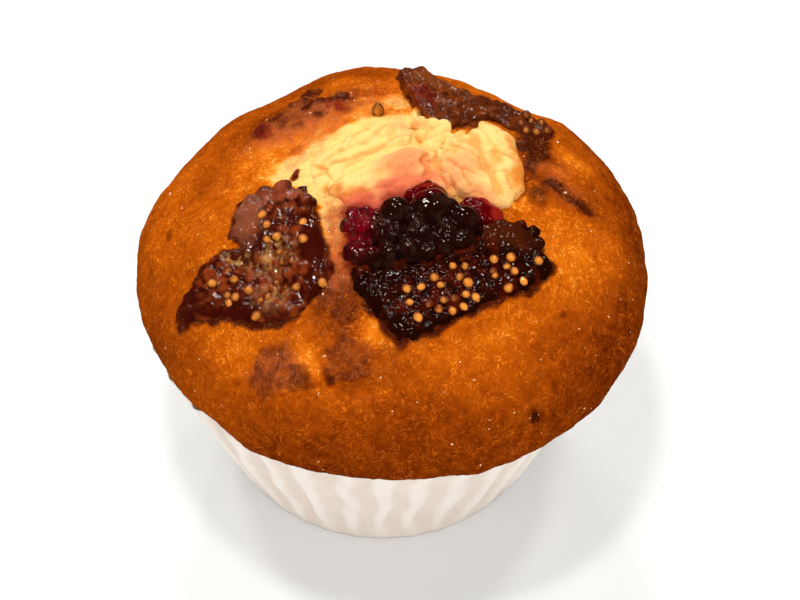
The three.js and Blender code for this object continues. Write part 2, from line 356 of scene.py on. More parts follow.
@dataclass(frozen=True)
class Crease:
    """A groove or ridge along a path, seen from above. Its height is less than 0 for a groove."""

    width: float
    height: float
    path: tuple[Plan, ...]

    def share(self, places: Array) -> Array:
        """How close each point is to the path, from 1 on it to 0.

        Args:
            places: Points in space.

        Returns:
            The closeness.
        """
        nearest = np.full(len(places), 1e9)
        for start, end in itertools.pairwise(np.array(self.path)):
            step = end - start
            offset = places[:, :2] - start
            along = np.clip(offset @ step / (step @ step), 0, 1)
            nearest = np.minimum(nearest, np.linalg.norm(offset - along[:, None] * step, axis=1))
        return hump(nearest, self.width)


def creases_along(*rows: tuple[float | Plan, ...]) -> tuple[Crease, ...]:
    """Creases. Each row holds a crease's width, its height and the points of its path."""
    return tuple(Crease(width, height, tuple(path)) for width, height, *path in rows)


class Probe:
    """Finds where rays meet solids."""

    def __init__(self, meshes: Iterable[Mesh]) -> None:
        """Joins the meshes' faces for the rays.

        Args:
            meshes: The solids' meshes.
        """
        points: list[Vector] = []
        faces: list[tuple[int, ...]] = []
        for mesh in meshes:
            first = len(points)
            points += [v.co * PER_METRE for v in mesh.vertices]
            faces += [tuple(first + i for i in face.vertices) for face in mesh.polygons]
        self._tree = BVHTree.FromPolygons(points, faces)

    def outwards(self, core: Array, directions: Array) -> Array:
        """How far the solids reach from a point inside them.

        Args:
            core: The point.
            directions: The rays' directions.

        Returns:
            The distance along each ray, or nan where it meets nothing.
        """
        start = Vector(core)
        hits = (self._tree.ray_cast(start, Vector(d))[3] for d in directions)
        return np.array([math.nan if hit is None else hit for hit in hits])

    def tops(self, plan: Array) -> Array:
        """The height of the solids over plan points.

        Args:
            plan: Points seen from above.

        Returns:
            The height at each, or nan where there is nothing.
        """
        above, down = 200.0, Vector((0, 0, -1))
        hits = (self._tree.ray_cast(Vector((x, y, above)), down)[0] for x, y in plan)
        return np.array([math.nan if hit is None else hit.z for hit in hits])


@dataclass
class Footprint:
    """A topping seen from above: how far a plan point lies outside its outline."""

    node: str
    step: float = 0.4
    margin: float = 7.0
    _low: Array = field(init=False)
    _apart: Array = field(init=False)

    def __post_init__(self) -> None:
        """Measures the outline on a grid."""
        low, high = (np.array(corner)[:2] * PER_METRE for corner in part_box(self.node))
        self._low = low - self.margin
        xs, ys = (np.arange(a, b, self.step) for a, b in zip(self._low, high + self.margin))
        plan = np.stack(np.meshgrid(xs, ys, indexing="ij"), axis=-1)
        heights = Probe([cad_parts[self.node].data]).tops(plan.reshape(-1, 2))
        inside = ~np.isnan(heights).reshape(plan.shape[:2])
        beside = sum(np.roll(inside, s, a).astype(int) for a in (0, 1) for s in (1, -1))
        edge = plan[inside & (beside < 4)]
        apart = np.linalg.norm(plan[:, :, None] - edge, axis=-1).min(axis=2)
        self._apart = blurred(np.where(inside, -apart, apart), 0.8)

    def outside(self, places: Array) -> Array:
        """How far each point lies outside the outline in the plan, less than 0 inside."""
        at = (places[:, :2] - self._low) / self.step
        return sampled(self._apart, at[:, 0], at[:, 1])


# -------------------- meshes


def points_of(mesh: Mesh) -> Array:
    """Reads a mesh's points.

    Args:
        mesh: The mesh.

    Returns:
        The points, in millimetres.
    """
    flat = np.empty(len(mesh.vertices) * 3, np.float32)
    mesh.vertices.foreach_get("co", flat)
    return flat.reshape(-1, 3).astype(float) * PER_METRE


def normals_of(mesh: Mesh) -> Array:
    """Reads a mesh's outward directions.

    Args:
        mesh: The mesh.

    Returns:
        One direction for each point.
    """
    flat = np.empty(len(mesh.vertices) * 3, np.float32)
    mesh.vertex_normals.foreach_get("vector", flat)
    return flat.reshape(-1, 3).astype(float)


def move(mesh: Mesh, points: Array) -> None:
    """Puts the mesh's points in new places, in millimetres."""
    mesh.vertices.foreach_set("co", (points * MM).astype(np.float32).ravel())
    mesh.update()


def write_marks(mesh: Mesh, marks: Marks) -> None:
    """Stores each mark as a number on every point.

    Args:
        mesh: The mesh.
        marks: Each mark's values, one for each point.
    """
    for mark, values in marks.items():
        layer = mesh.attributes.new(mark.value, "FLOAT", "POINT")
        layer.data.foreach_set("value", np.asarray(values, np.float32))


def remeshed(name: str, mesh: Mesh, cell: float, rounds: int) -> Mesh:
    """A closed solid as one even skin of small squares.

    Args:
        name: The new mesh's name.
        mesh: The solid. It isn't changed.
        cell: The squares' size.
        rounds: How often the skin is smoothed.

    Returns:
        The new mesh.
    """
    merged = bmesh.new()
    merged.from_mesh(mesh)
    bmesh.ops.remove_doubles(merged, verts=merged.verts, dist=0.002 * MM)
    copy = bpy.data.meshes.new(name)
    merged.to_mesh(copy)
    merged.free()
    carrier = bpy.data.objects.new(name, copy)
    bpy.context.scene.collection.objects.link(carrier)
    skin = carrier.modifiers.new("even_skin", "REMESH")
    skin.mode = "VOXEL"
    skin.voxel_size = cell * MM
    soft = carrier.modifiers.new("softened", "SMOOTH")
    soft.factor = 0.5
    soft.iterations = rounds
    return baked(carrier)


def baked(carrier: Piece) -> Mesh:
    """What an object's modifiers make of it, as a plain mesh. The object itself is removed.

    Args:
        carrier: The object with its modifiers.

    Returns:
        The mesh.
    """
    depsgraph = bpy.context.evaluated_depsgraph_get()
    made = bpy.data.meshes.new_from_object(carrier.evaluated_get(depsgraph))
    made.name = carrier.name
    carrier.modifiers.clear()
    bpy.data.objects.remove(carrier)
    return made


def shown(name: str, mesh: Mesh, material: Material, nodes: tuple[str, ...] = ()) -> Piece:
    """Shows a finished mesh as a piece of the muffin.

    Args:
        name: The piece's name.
        mesh: Its mesh, in its place.
        material: Its finish.
        nodes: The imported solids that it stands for.

    Returns:
        The piece.
    """
    mesh.materials.clear()
    mesh.materials.append(material)
    mesh.shade_smooth()
    piece = bpy.data.objects.new(name, mesh)
    bpy.context.scene.collection.objects.link(piece)
    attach(piece, BODY)
    if nodes:
        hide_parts(*nodes)
    LOG.info("%s: %d faces", name, len(mesh.polygons))
    return piece


# -------------------- node trees


class Wiring:
    """Places nodes in a tree and joins them."""

    def __init__(self, tree: Tree) -> None:
        """Takes the shader or geometry tree to fill."""
        self.tree = tree

    def feed(self, socket: Socket, value: object) -> None:
        """Links a socket to another one, or sets its own value.

        Args:
            socket: The input.
            value: Another node's output, or a plain value.
        """
        if isinstance(value, Socket):
            self.tree.links.new(value, socket)
        else:
            socket.default_value = value

    def place(self, kind: str, feeds: dict | None = None, **settings: object) -> bpy.types.Node:
        """Adds a node.

        Args:
            kind: Blender's name for the node's type.
            feeds: What goes into its sockets, by their name or number.
            **settings: Its other settings.

        Returns:
            The node.
        """
        node = self.tree.nodes.new(kind)
        for name, value in settings.items():
            setattr(node, name, value)
        for socket, value in (feeds or {}).items():
            self.feed(node.inputs[socket], value)
        return node

    def math(self, operation: str, *values: object) -> Socket:
        """Works out a sum, product or other operation, by Blender's name for it."""
        return self.place("ShaderNodeMath", dict(enumerate(values)), operation=operation).outputs[0]

    def vector(self, operation: str, *values: object) -> Socket:
        """Works out a vector's operation, by Blender's name for it."""
        return self.place("ShaderNodeVectorMath", dict(enumerate(values)), operation=operation).outputs[0]

    def scaled(self, vector: object, factor: object) -> Socket:
        """A vector, that many times as long."""
        return self.place("ShaderNodeVectorMath", {0: vector, "Scale": factor}, operation="SCALE").outputs[0]

    def eased(self, value: object, low: object, high: object) -> Socket:
        """A smooth step from 0 at low to 1 at high."""
        feeds = {"Value": value, "From Min": low, "From Max": high}
        return self.place("ShaderNodeMapRange", feeds, interpolation_type="SMOOTHSTEP").outputs[0]

    def mixed(self, share: object, low: object, high: object) -> Socket:
        """The low colour where share is 0 and the high one where it is 1."""
        feeds = {0: share, 6: low, 7: high}
        return self.place("ShaderNodeMix", feeds, data_type="RGBA").outputs[2]

    def ramp(self, value: object, stops: Iterable[tuple[float, Colour]]) -> Socket:
        """Adds a run of colours.

        Args:
            value: Where on the run, from 0 to 1.
            stops: Each colour's place on it, in order.

        Returns:
            The colour's socket.
        """
        node = self.place("ShaderNodeValToRGB", {0: value})
        elements = node.color_ramp.elements
        for number, (position, colour) in enumerate(stops):
            element = elements[number] if number < 2 else elements.new(position)
            element.position = position
            element.color = colour
        return node.outputs[0]

    def layered(self, colour: object, *layers: tuple[object, Colour]) -> Socket:
        """A colour with others laid over it.

        Args:
            colour: The lowest colour.
            *layers: How much of each other one covers what is below it, and the colour.

        Returns:
            The colour's socket.
        """
        for share, tint in layers:
            colour = self.mixed(share, colour, tint)
        return colour

    def mark(self, mark: Mark) -> Socket:
        """The value of a mark on the surface."""
        return self.place("ShaderNodeAttribute", attribute_name=mark.value).outputs["Fac"]

    def times(self, first: object, second: object) -> Socket:
        """The product of two values."""
        return self.math("MULTIPLY", first, second)

    def minus(self, first: object, second: object) -> Socket:
        """The first value less the second."""
        return self.math("SUBTRACT", first, second)

    def joined(self, x: object = 0.0, y: object = 0.0, z: object = 0.0) -> Socket:
        """A vector from its parts."""
        return self.place("ShaderNodeCombineXYZ", {"X": x, "Y": y, "Z": z}).outputs[0]

    def parts(self, vector: object) -> bpy.types.NodeOutputs:
        """A vector's parts, by the names X, Y and Z."""
        return self.place("ShaderNodeSeparateXYZ", {0: vector}).outputs

    def rest(self, share: object) -> Socket:
        """What a share leaves of 1."""
        return self.minus(1.0, share)

    def swing(self, value: object, reach: float) -> Socket:
        """A 0 to 1 value turned into one that swings around 0, that far in all."""
        return self.times(self.minus(value, 0.5), reach)

    def total(self, *values: object) -> Socket:
        """Adds values up.

        Args:
            *values: Sockets or numbers, at least one.

        Returns:
            The sum.
        """
        result = values[0]
        for value in values[1:]:
            result = self.math("ADD", result, value)
        return result


def new_group(
    name: str, kind: str, inputs: dict[str, object], output: tuple[str, str]
) -> tuple[Tree, Wiring, bpy.types.NodeOutputs]:
    """Starts a node group with named sockets.

    Args:
        name: The group's name.
        kind: Shader or Geometry.
        inputs: By name, each input's value if nothing else is set, or the type of one without a value.
        output: The output's name and type.

    Returns:
        The group, its wiring, and the sockets that give its inputs.
    """
    tree = bpy.data.node_groups.new(name, f"{kind}NodeTree")
    for label, default in inputs.items():
        typed = isinstance(default, str)
        socket_type = default if typed else type(default).__name__.capitalize()
        socket = tree.interface.new_socket(label, in_out="INPUT", socket_type=f"NodeSocket{socket_type}")
        if not typed:
            socket.default_value = default
    tree.interface.new_socket(output[0], in_out="OUTPUT", socket_type=f"NodeSocket{output[1]}")
    wires = Wiring(tree)
    return tree, wires, wires.place("NodeGroupInput").outputs


class ShaderKit:
    """The shader groups that the finishes share, each built once."""

    def __init__(self) -> None:
        """Builds the groups."""
        self.mottle = self._mottle_group()
        self.wrinkles = self._wrinkle_group()
        self.fibres = self._fibre_group()

    @staticmethod
    def _mottle_group() -> Tree:
        """Soft spots: lighter and darker areas of about the same size.

        Returns:
            The group.
        """
        inputs = {"Place": "Vector", "Spot Size mm": 2.0, "Detail": 2.0, "Contrast": 1.0}
        tree, wires, given = new_group("mottle", "Shader", inputs, ("Value", "Float"))
        scale = wires.math("DIVIDE", PER_METRE, given["Spot Size mm"])
        feeds = {"Vector": given["Place"], "Scale": scale, "Detail": given["Detail"], "Roughness": 0.55}
        noise = wires.place("ShaderNodeTexNoise", feeds).outputs[0]
        spread = wires.times(wires.minus(noise, 0.5), given["Contrast"])
        result = wires.total(spread, 0.5)
        wires.place("NodeGroupOutput", {"Value": result})
        return tree

    @staticmethod
    def _wrinkle_group() -> Tree:
        """Curled threads: thin ridges that wander over a skin.

        Returns:
            The group.
        """
        inputs = {"Place": "Vector", "Spacing mm": 1.0, "Curl": 0.6, "Thinness": 6.0}
        tree, wires, given = new_group("wrinkles", "Shader", inputs, ("Ridge", "Float"))
        scale = wires.math("DIVIDE", PER_METRE, given["Spacing mm"])
        place = wires.scaled(given["Place"], scale)
        drift = wires.place("ShaderNodeTexNoise", {"Vector": place, "Scale": 0.6, "Detail": 1.0})
        centred = wires.vector("SUBTRACT", drift.outputs["Color"], (0.5, 0.5, 0.5))
        moved = wires.vector("ADD", place, wires.scaled(centred, given["Curl"]))
        noise = wires.place("ShaderNodeTexNoise", {"Vector": moved, "Scale": 1.0, "Detail": 1.0})
        away = wires.math("ABSOLUTE", wires.minus(noise.outputs[0], 0.5))
        steep = wires.times(away, given["Thinness"])
        ridge = wires.math("POWER", 2.0, wires.times(wires.times(steep, steep), -1.0))
        wires.place("NodeGroupOutput", {"Ridge": ridge})
        return tree

    @staticmethod
    def _fibre_group() -> Tree:
        """Short bent fibres that lie every way.

        Returns:
            The group.
        """
        inputs = {"Place": "Vector", "Length mm": 2.0, "Width mm": 0.5, "Curl": 1.5}
        tree, wires, given = new_group("fibres", "Shader", inputs, ("Fibre", "Float"))
        scale = wires.math("DIVIDE", PER_METRE, given["Length mm"])
        slim = wires.math("DIVIDE", given["Length mm"], given["Width mm"])
        place = wires.scaled(given["Place"], scale)
        drift = wires.place("ShaderNodeTexNoise", {"Vector": place, "Scale": 1.0, "Detail": 1.0})
        centred = wires.vector("SUBTRACT", drift.outputs["Color"], (0.5, 0.5, 0.5))
        moved = wires.vector("ADD", place, wires.scaled(centred, given["Curl"]))
        fibre = 0.0
        for along in "XYZ":
            squeezed = wires.joined(*(1.0 if axis == along else slim for axis in "XYZ"))
            feeds = {"Vector": wires.vector("MULTIPLY", moved, squeezed), "Scale": 1.0}
            spots = wires.place("ShaderNodeTexVoronoi", feeds).outputs
            shape = wires.eased(spots["Distance"], 0.38, 0.2)
            pick = wires.parts(spots["Color"])["X"]
            fibre = wires.math("MAXIMUM", fibre, wires.times(shape, pick))
        wires.place("NodeGroupOutput", {"Fibre": fibre})
        return tree


class Surface:
    """A new material with its shader, coordinates and wiring."""

    def __init__(self, name: str, kit: ShaderKit) -> None:
        """Makes the material.

        Args:
            name: The material's name.
            kit: The shared groups.
        """
        self.material = bpy.data.materials.new(name)
        self.material.use_nodes = True
        self.kit = kit
        self.wires = Wiring(self.material.node_tree)
        self.shader = self.material.node_tree.nodes["Principled BSDF"]
        self.place = self.wires.place("ShaderNodeTexCoord").outputs["Object"]

    def set(self, **constants: object) -> None:
        """Sets the shader's own sockets, with _ for each space in a name."""
        for socket, value in constants.items():
            self.shader.inputs[socket.replace("_", " ")].default_value = value

    def _shared(self, group: Tree, **values: object) -> Socket:
        feeds = {"Place": self.place, **{name.replace("_", " "): value for name, value in values.items()}}
        return self.wires.place("ShaderNodeGroup", node_tree=group, feeds=feeds).outputs[0]

    def mottle(self, size: float, detail: float = 2.0, contrast: float = 2.0) -> Socket:
        """Soft spots of that size, about 0 to 1, with that many finer layers."""
        return self._shared(self.kit.mottle, Spot_Size_mm=size, Detail=detail, Contrast=contrast)

    def wrinkles(self, spacing: float, curl: float = 0.8, thinness: float = 14.0) -> Socket:
        """Curled threads that far apart, 1 on a thread."""
        return self._shared(self.kit.wrinkles, Spacing_mm=spacing, Curl=curl, Thinness=thinness)

    def fibres(self, length: float, width: float, curl: float = 1.2) -> Socket:
        """Short bent fibres, that far apart along and across, up to 1 on a fibre."""
        return self._shared(self.kit.fibres, Length_mm=length, Width_mm=width, Curl=curl)

    def paint(self, colour: object, roughness: object = None) -> None:
        """Sets the shader's colour and, if it varies, its roughness.

        Args:
            colour: A socket or a plain colour.
            roughness: A socket, or None where the roughness stays as it is.
        """
        self.wires.feed(self.shader.inputs["Base Color"], colour)
        if roughness is not None:
            self.wires.feed(self.shader.inputs["Roughness"], roughness)

    def emboss(self, *layers: tuple[object, float]) -> None:
        """Adds fine relief to the shader and its film.

        Args:
            *layers: Each a height from 0 to 1 and how many millimetres that is.
        """
        heights = [self.wires.times(height, depth) for height, depth in layers]
        feeds = {"Height": self.wires.total(*heights), "Distance": MM, "Strength": 1.0}
        bump = self.wires.place("ShaderNodeBump", feeds)
        self.wires.feed(self.shader.inputs["Normal"], bump.outputs[0])
        self.wires.feed(self.shader.inputs["Coat Normal"], bump.outputs[0])


# -------------------- finishes


class Finish:
    """A finish of one of the muffin's parts."""

    name: str

    def material(self, kit: ShaderKit) -> Material:
        """Builds the finish.

        Args:
            kit: The shared groups.

        Returns:
            The material.
        """
        surface = Surface(self.name, kit)
        self.dress(surface)
        return surface.material

    def dress(self, surface: Surface) -> None:
        """Sets the shader and wires its colours and relief. Each finish has its own."""
        raise NotImplementedError


@dataclass(frozen=True)
class CrustFinish(Finish):
    """Baked crust: pale where it is hardly baked, brown at the rim, wet and red where jam ran over it."""

    name: str = "baked_crust"
    stops: tuple[tuple[float, Colour], ...] = (
        (0.0, srgb(253, 214, 130)), (0.16, srgb(244, 168, 62)), (0.3, srgb(226, 120, 18)),
        (0.46, srgb(186, 88, 8)), (0.64, srgb(152, 66, 5)), (0.82, srgb(116, 44, 2)), (1.0, srgb(60, 18, 0)),
    )
    jam: Colour = srgb(76, 22, 6)
    rose: Colour = srgb(212, 108, 56)
    wine: Colour = srgb(122, 10, 16)
    # The colour of the painted highlights on the fibres.
    thread: Colour = srgb(238, 134, 62)
    speck: Colour = srgb(255, 232, 200)
    dry_roughness: float = 0.6
    wet_roughness: float = 0.25
    dry_film: float = 0.1
    wet_film: float = 0.28

    def dress(self, surface: Surface) -> None:
        """Sets the shader and wires its colours and relief.

        Args:
            surface: The new material.
        """
        surface.set(
            IOR=1.42, Specular_IOR_Level=0.0, Coat_Roughness=0.06, Coat_IOR=1.4, Subsurface_Weight=0.12,
            Subsurface_Radius=(1.0, 0.45, 0.15), Subsurface_Scale=0.0012,
        )
        wires = surface.wires
        spots = surface.mottle(2.4)
        jam, rose, wine = (wires.mark(mark) for mark in (Mark.JAM, Mark.ROSE, Mark.WINE))
        lines = wires.math("MAXIMUM", surface.fibres(2.4, 0.55, 1.3), surface.fibres(1.5, 0.45, 1.3))
        lines = wires.times(lines, wires.eased(surface.mottle(2.0, 1.0), -0.2, 0.9))
        baking = wires.total(
            wires.mark(Mark.BAKE),
            wires.swing(surface.mottle(7.0), 0.08),
            wires.swing(spots, 0.12),
            wires.swing(surface.mottle(0.9, 1.0), 0.1),
            # Painted light and shade: lighter on the crust's lumps, darker in its pores and hollows.
            wires.times(wires.mark(Mark.RELIEF), -0.25),
            wires.times(jam, 0.35),
            # Painted highlight: the fibres make the crust lighter.
            wires.times(lines, -0.27),
        )
        colour = wires.ramp(baking, self.stops)
        flecks = surface.mottle(1.5)
        for stain, tint in ((rose, self.rose), (wine, self.wine), (jam, self.jam)):
            fleck = wires.times(wires.swing(flecks, 2.4), wires.times(stain, wires.rest(stain)))
            colour = wires.mixed(wires.total(stain, fleck), colour, tint)
        stain = wires.math("MAXIMUM", wires.math("MAXIMUM", rose, wine), jam)
        half_stained = wires.times(wires.times(stain, wires.rest(stain)), 0.7)
        # Painted highlights: the fibres are lighter still, most where the crust is half stained. In the bump
        # they are real relief.
        pale = wires.times(lines, wires.total(0.08, half_stained))
        # Painted glints: tiny pale specks in the colour stand in for sparkles of light.
        painted_glints = wires.times(wires.eased(surface.mottle(0.6, 0.0, 2.0), 1.2, 1.24), 0.8)
        colour = wires.layered(colour, (pale, self.thread), (painted_glints, self.speck))
        wetness = wires.times(jam, self.wet_roughness - self.dry_roughness)
        surface.paint(colour, wires.total(self.dry_roughness, wetness))
        film = wires.eased(wires.total(jam, wires.times(rose, 0.4), wine), 0.05, 0.8)
        coat = wires.total(self.dry_film, wires.times(film, self.wet_film))
        wires.feed(surface.shader.inputs["Coat Weight"], coat)
        grain = surface.mottle(1.0, 1.0)
        crinkles = wires.times(wires.total(grain, lines), stain)
        surface.emboss((lines, 0.08), (grain, 0.14), (surface.mottle(2.6), 0.3), (crinkles, 0.3))


@dataclass(frozen=True)
class PaperFinish(Finish):
    """Thin baking paper, matt and a little fibrous, with painted shade in the valleys of its pleats."""

    name: str = "baking_paper"
    light: Colour = srgb(252, 240, 230)
    shade: Colour = srgb(238, 221, 207)
    fibre_length: float = 0.9

    def dress(self, surface: Surface) -> None:
        """Sets the shader and wires its colours and relief.

        Args:
            surface: The new material.
        """
        surface.set(
            Roughness=0.78, Specular_IOR_Level=0.1, Subsurface_Weight=0.3,
            Subsurface_Radius=(1.0, 0.8, 0.6), Subsurface_Scale=0.0015,
        )
        # Painted shade: the paper is darker in the valleys of its pleats, with soft random patches.
        valley_shade = surface.wires.eased(surface.wires.mark(Mark.RELIEF), 0.9, -1.0)
        shade_and_mottle = surface.wires.total(valley_shade, surface.wires.swing(surface.mottle(5.0), 0.6))
        surface.paint(surface.wires.mixed(shade_and_mottle, self.light, self.shade))
        surface.emboss(
            (surface.wrinkles(self.fibre_length, 1.2, 10.0), 0.02),
            (surface.mottle(0.35), 0.02),
            (surface.mottle(2.4), 0.12),
        )


@dataclass(frozen=True)
class FigFinish(Finish):
    """A baked fig: dark wet flesh with brown pulp, greyish gold mush brightened by a painted highlight, and a
    see-through skin.
    """

    name: str
    flesh: Colour
    pulp: Colour
    mush: Colour
    skin: Colour
    glow: float = 0.25
    film: float = 0.85
    wine: Colour = srgb(110, 6, 8)

    def dress(self, surface: Surface) -> None:
        """Sets the shader and wires its colours and relief.

        Args:
            surface: The new material.
        """
        surface.set(
            IOR=1.4, Specular_IOR_Level=0.0, Coat_Weight=self.film, Coat_Roughness=0.05, Coat_IOR=1.45,
            Subsurface_Weight=self.glow, Subsurface_Radius=(1.0, 0.25, 0.1), Subsurface_Scale=0.0016,
        )
        wires = surface.wires
        lumps = surface.mottle(2.6, 1.0)
        sacs = surface.mottle(1.2, 0.0)
        threads = surface.wrinkles(1.5, 1.0, 9.0)
        pulp = wires.times(wires.mark(Mark.PULP), wires.eased(sacs, 0.2, 0.8))
        # The mush is the fig's own pale centre, its colour brightened as a painted highlight.
        mush = wires.times(wires.mark(Mark.MUSH), wires.eased(surface.mottle(1.1), 0.2, 1.0))
        # The pulp colour lies on the tops of the lumps that the bump raises; the flesh colour stays between
        # them.
        lump_tops = wires.eased(lumps, 0.5, 1.1)
        skin, wine = wires.mark(Mark.SKIN), wires.mark(Mark.WINE)
        layers = ((pulp, self.pulp), (skin, self.skin), (mush, self.mush), (wine, self.wine))
        surface.paint(wires.layered(self.flesh, (lump_tops, self.pulp), *layers), 0.5)
        rough = wires.rest(wires.mark(Mark.RELIEF))
        fine = wires.total(wires.times(sacs, 0.09), wires.times(threads, 0.02))
        soft = wires.times(lumps, wires.total(0.5, wires.times(rough, 0.5)))
        surface.emboss((soft, 0.26), (wires.times(fine, rough), 1.0))


@dataclass(frozen=True)
class BerryFinish(Finish):
    """A baked dark berry: near black and wet, crimson where its juice is thin."""

    name: str = "dark_berry_skin"
    flesh: Colour = srgb(30, 6, 4)
    bloom: Colour = srgb(46, 28, 18)
    juice: Colour = srgb(118, 2, 20)

    def dress(self, surface: Surface) -> None:
        """Sets the shader and wires its colours and relief.

        Args:
            surface: The new material.
        """
        surface.set(
            IOR=1.38, Specular_IOR_Level=0.0, Coat_Weight=0.8, Coat_Roughness=0.04, Coat_IOR=1.4,
            Subsurface_Weight=0.25, Subsurface_Radius=(1.0, 0.1, 0.12), Subsurface_Scale=0.0018,
        )
        wires = surface.wires
        spots = surface.mottle(1.4, 0.0)
        threads = surface.wrinkles(1.3, 1.0, 9.0)
        # Painted sheen: greyish light along the wrinkles, in soft patches.
        bloom = wires.times(wires.eased(surface.mottle(2.4), 0.45, 0.9), wires.eased(threads, 0.0, 0.9))
        thin = wires.times(wires.mark(Mark.WINE), wires.eased(surface.mottle(1.8), 0.0, 0.8))
        surface.paint(wires.layered(self.flesh, (bloom, self.bloom), (thin, self.juice)), 0.5)
        wrinkled = wires.rest(wires.mark(Mark.SKIN))
        surface.emboss(
            (wires.times(threads, wrinkled), 0.06),
            (wires.times(spots, wrinkled), 0.14),
            (wires.times(surface.mottle(0.7, 0.0), wrinkled), 0.03),
            (surface.mottle(2.2, 0.0), 0.08),
        )


@dataclass(frozen=True)
class RedFruitFinish(Finish):
    """Soft red fruit, wet and see-through at its edges."""

    name: str = "red_fruit_flesh"
    deep: Colour = srgb(86, 2, 5)
    bright: Colour = srgb(150, 34, 24)

    def dress(self, surface: Surface) -> None:
        """Sets the shader and wires its colours and relief.

        Args:
            surface: The new material.
        """
        surface.set(
            IOR=1.38, Specular_IOR_Level=0.0, Roughness=0.5, Coat_Weight=0.38, Coat_Roughness=0.05,
            Coat_IOR=1.4, Subsurface_Weight=0.4, Subsurface_Radius=(1.0, 0.15, 0.12),
            Subsurface_Scale=0.002,
        )
        surface.paint(surface.wires.mixed(surface.wires.mark(Mark.ROSE), self.deep, self.bright))
        surface.emboss((surface.mottle(1.6, 1.0), 0.2), (surface.wrinkles(1.3), 0.05))


@dataclass(frozen=True)
class CreamFinish(Finish):
    """Baked cream cheese: soft and pale, toasted at its edges, stained rose by the berry, with painted shade
    in its folds.
    """

    name: str = "baked_cream_cheese"
    body: Colour = srgb(250, 211, 134)
    # The colour of the painted shade in the folds.
    fold: Colour = srgb(238, 176, 94)
    toast: Colour = srgb(220, 134, 50)
    rose: Colour = srgb(226, 114, 82)
    wine: Colour = srgb(150, 24, 30)

    def dress(self, surface: Surface) -> None:
        """Sets the shader and wires its colours and relief.

        Args:
            surface: The new material.
        """
        surface.set(
            IOR=1.42, Specular_IOR_Level=0.04, Subsurface_Weight=0.4, Subsurface_Radius=(1.0, 0.6, 0.3),
            Subsurface_Scale=0.0016,
        )
        wires = surface.wires
        soft = surface.mottle(3.2, 1.0)
        # Painted shade: the fold colour darkens the creases and hollows, with random soft patches over it.
        hollow_shade = wires.times(wires.mark(Mark.RELIEF), -2.6)
        folds = wires.total(hollow_shade, wires.swing(soft, 0.5), 0.1)
        toast = wires.times(wires.mark(Mark.BAKE), wires.eased(soft, -0.4, 0.7))
        rose, wine = wires.mark(Mark.ROSE), wires.mark(Mark.WINE)
        layers = ((folds, self.fold), (toast, self.toast), (rose, self.rose), (wine, self.wine))
        colour = wires.layered(self.body, *layers)
        surface.paint(colour, wires.total(0.5, wires.swing(soft, 0.1)))
        surface.emboss(
            (surface.wrinkles(2.4, 1.0, 9.0), -0.05),
            (surface.mottle(3.0, 3.0), 0.3),
            (surface.mottle(0.9, 1.0), 0.06),
        )


@dataclass(frozen=True)
class SeedFinish(Finish):
    """Fig seeds and other grains: pale at a tone of 1 and dark at 0, under a thin wet film, with painted shade
    at their edges.
    """

    name: str
    pale: Colour
    dark: Colour
    wet: float = 0.6
    # How much painted shade darkens the edges that turn away from the camera.
    rim: float = 1.15

    def dress(self, surface: Surface) -> None:
        """Sets the shader and wires its colours and relief.

        Args:
            surface: The new material.
        """
        surface.set(
            Specular_IOR_Level=0.1, Coat_Weight=self.wet, Coat_Roughness=0.06, Subsurface_Weight=0.12,
            Subsurface_Radius=(1.0, 0.5, 0.2), Subsurface_Scale=0.0006,
        )
        wires = surface.wires
        tone = wires.total(wires.mark(Mark.TONE), wires.swing(surface.mottle(0.9), 0.7))
        # Painted shade: the colour darkens where the surface turns away from the camera.
        turned = wires.place("ShaderNodeLayerWeight", {"Blend": 0.62}).outputs["Facing"]
        tone = wires.minus(tone, wires.times(turned, self.rim))
        surface.paint(wires.mixed(tone, self.dark, self.pale), 0.36)
        surface.emboss((surface.mottle(0.7, 1.0), 0.06))


# -------------------- the cake


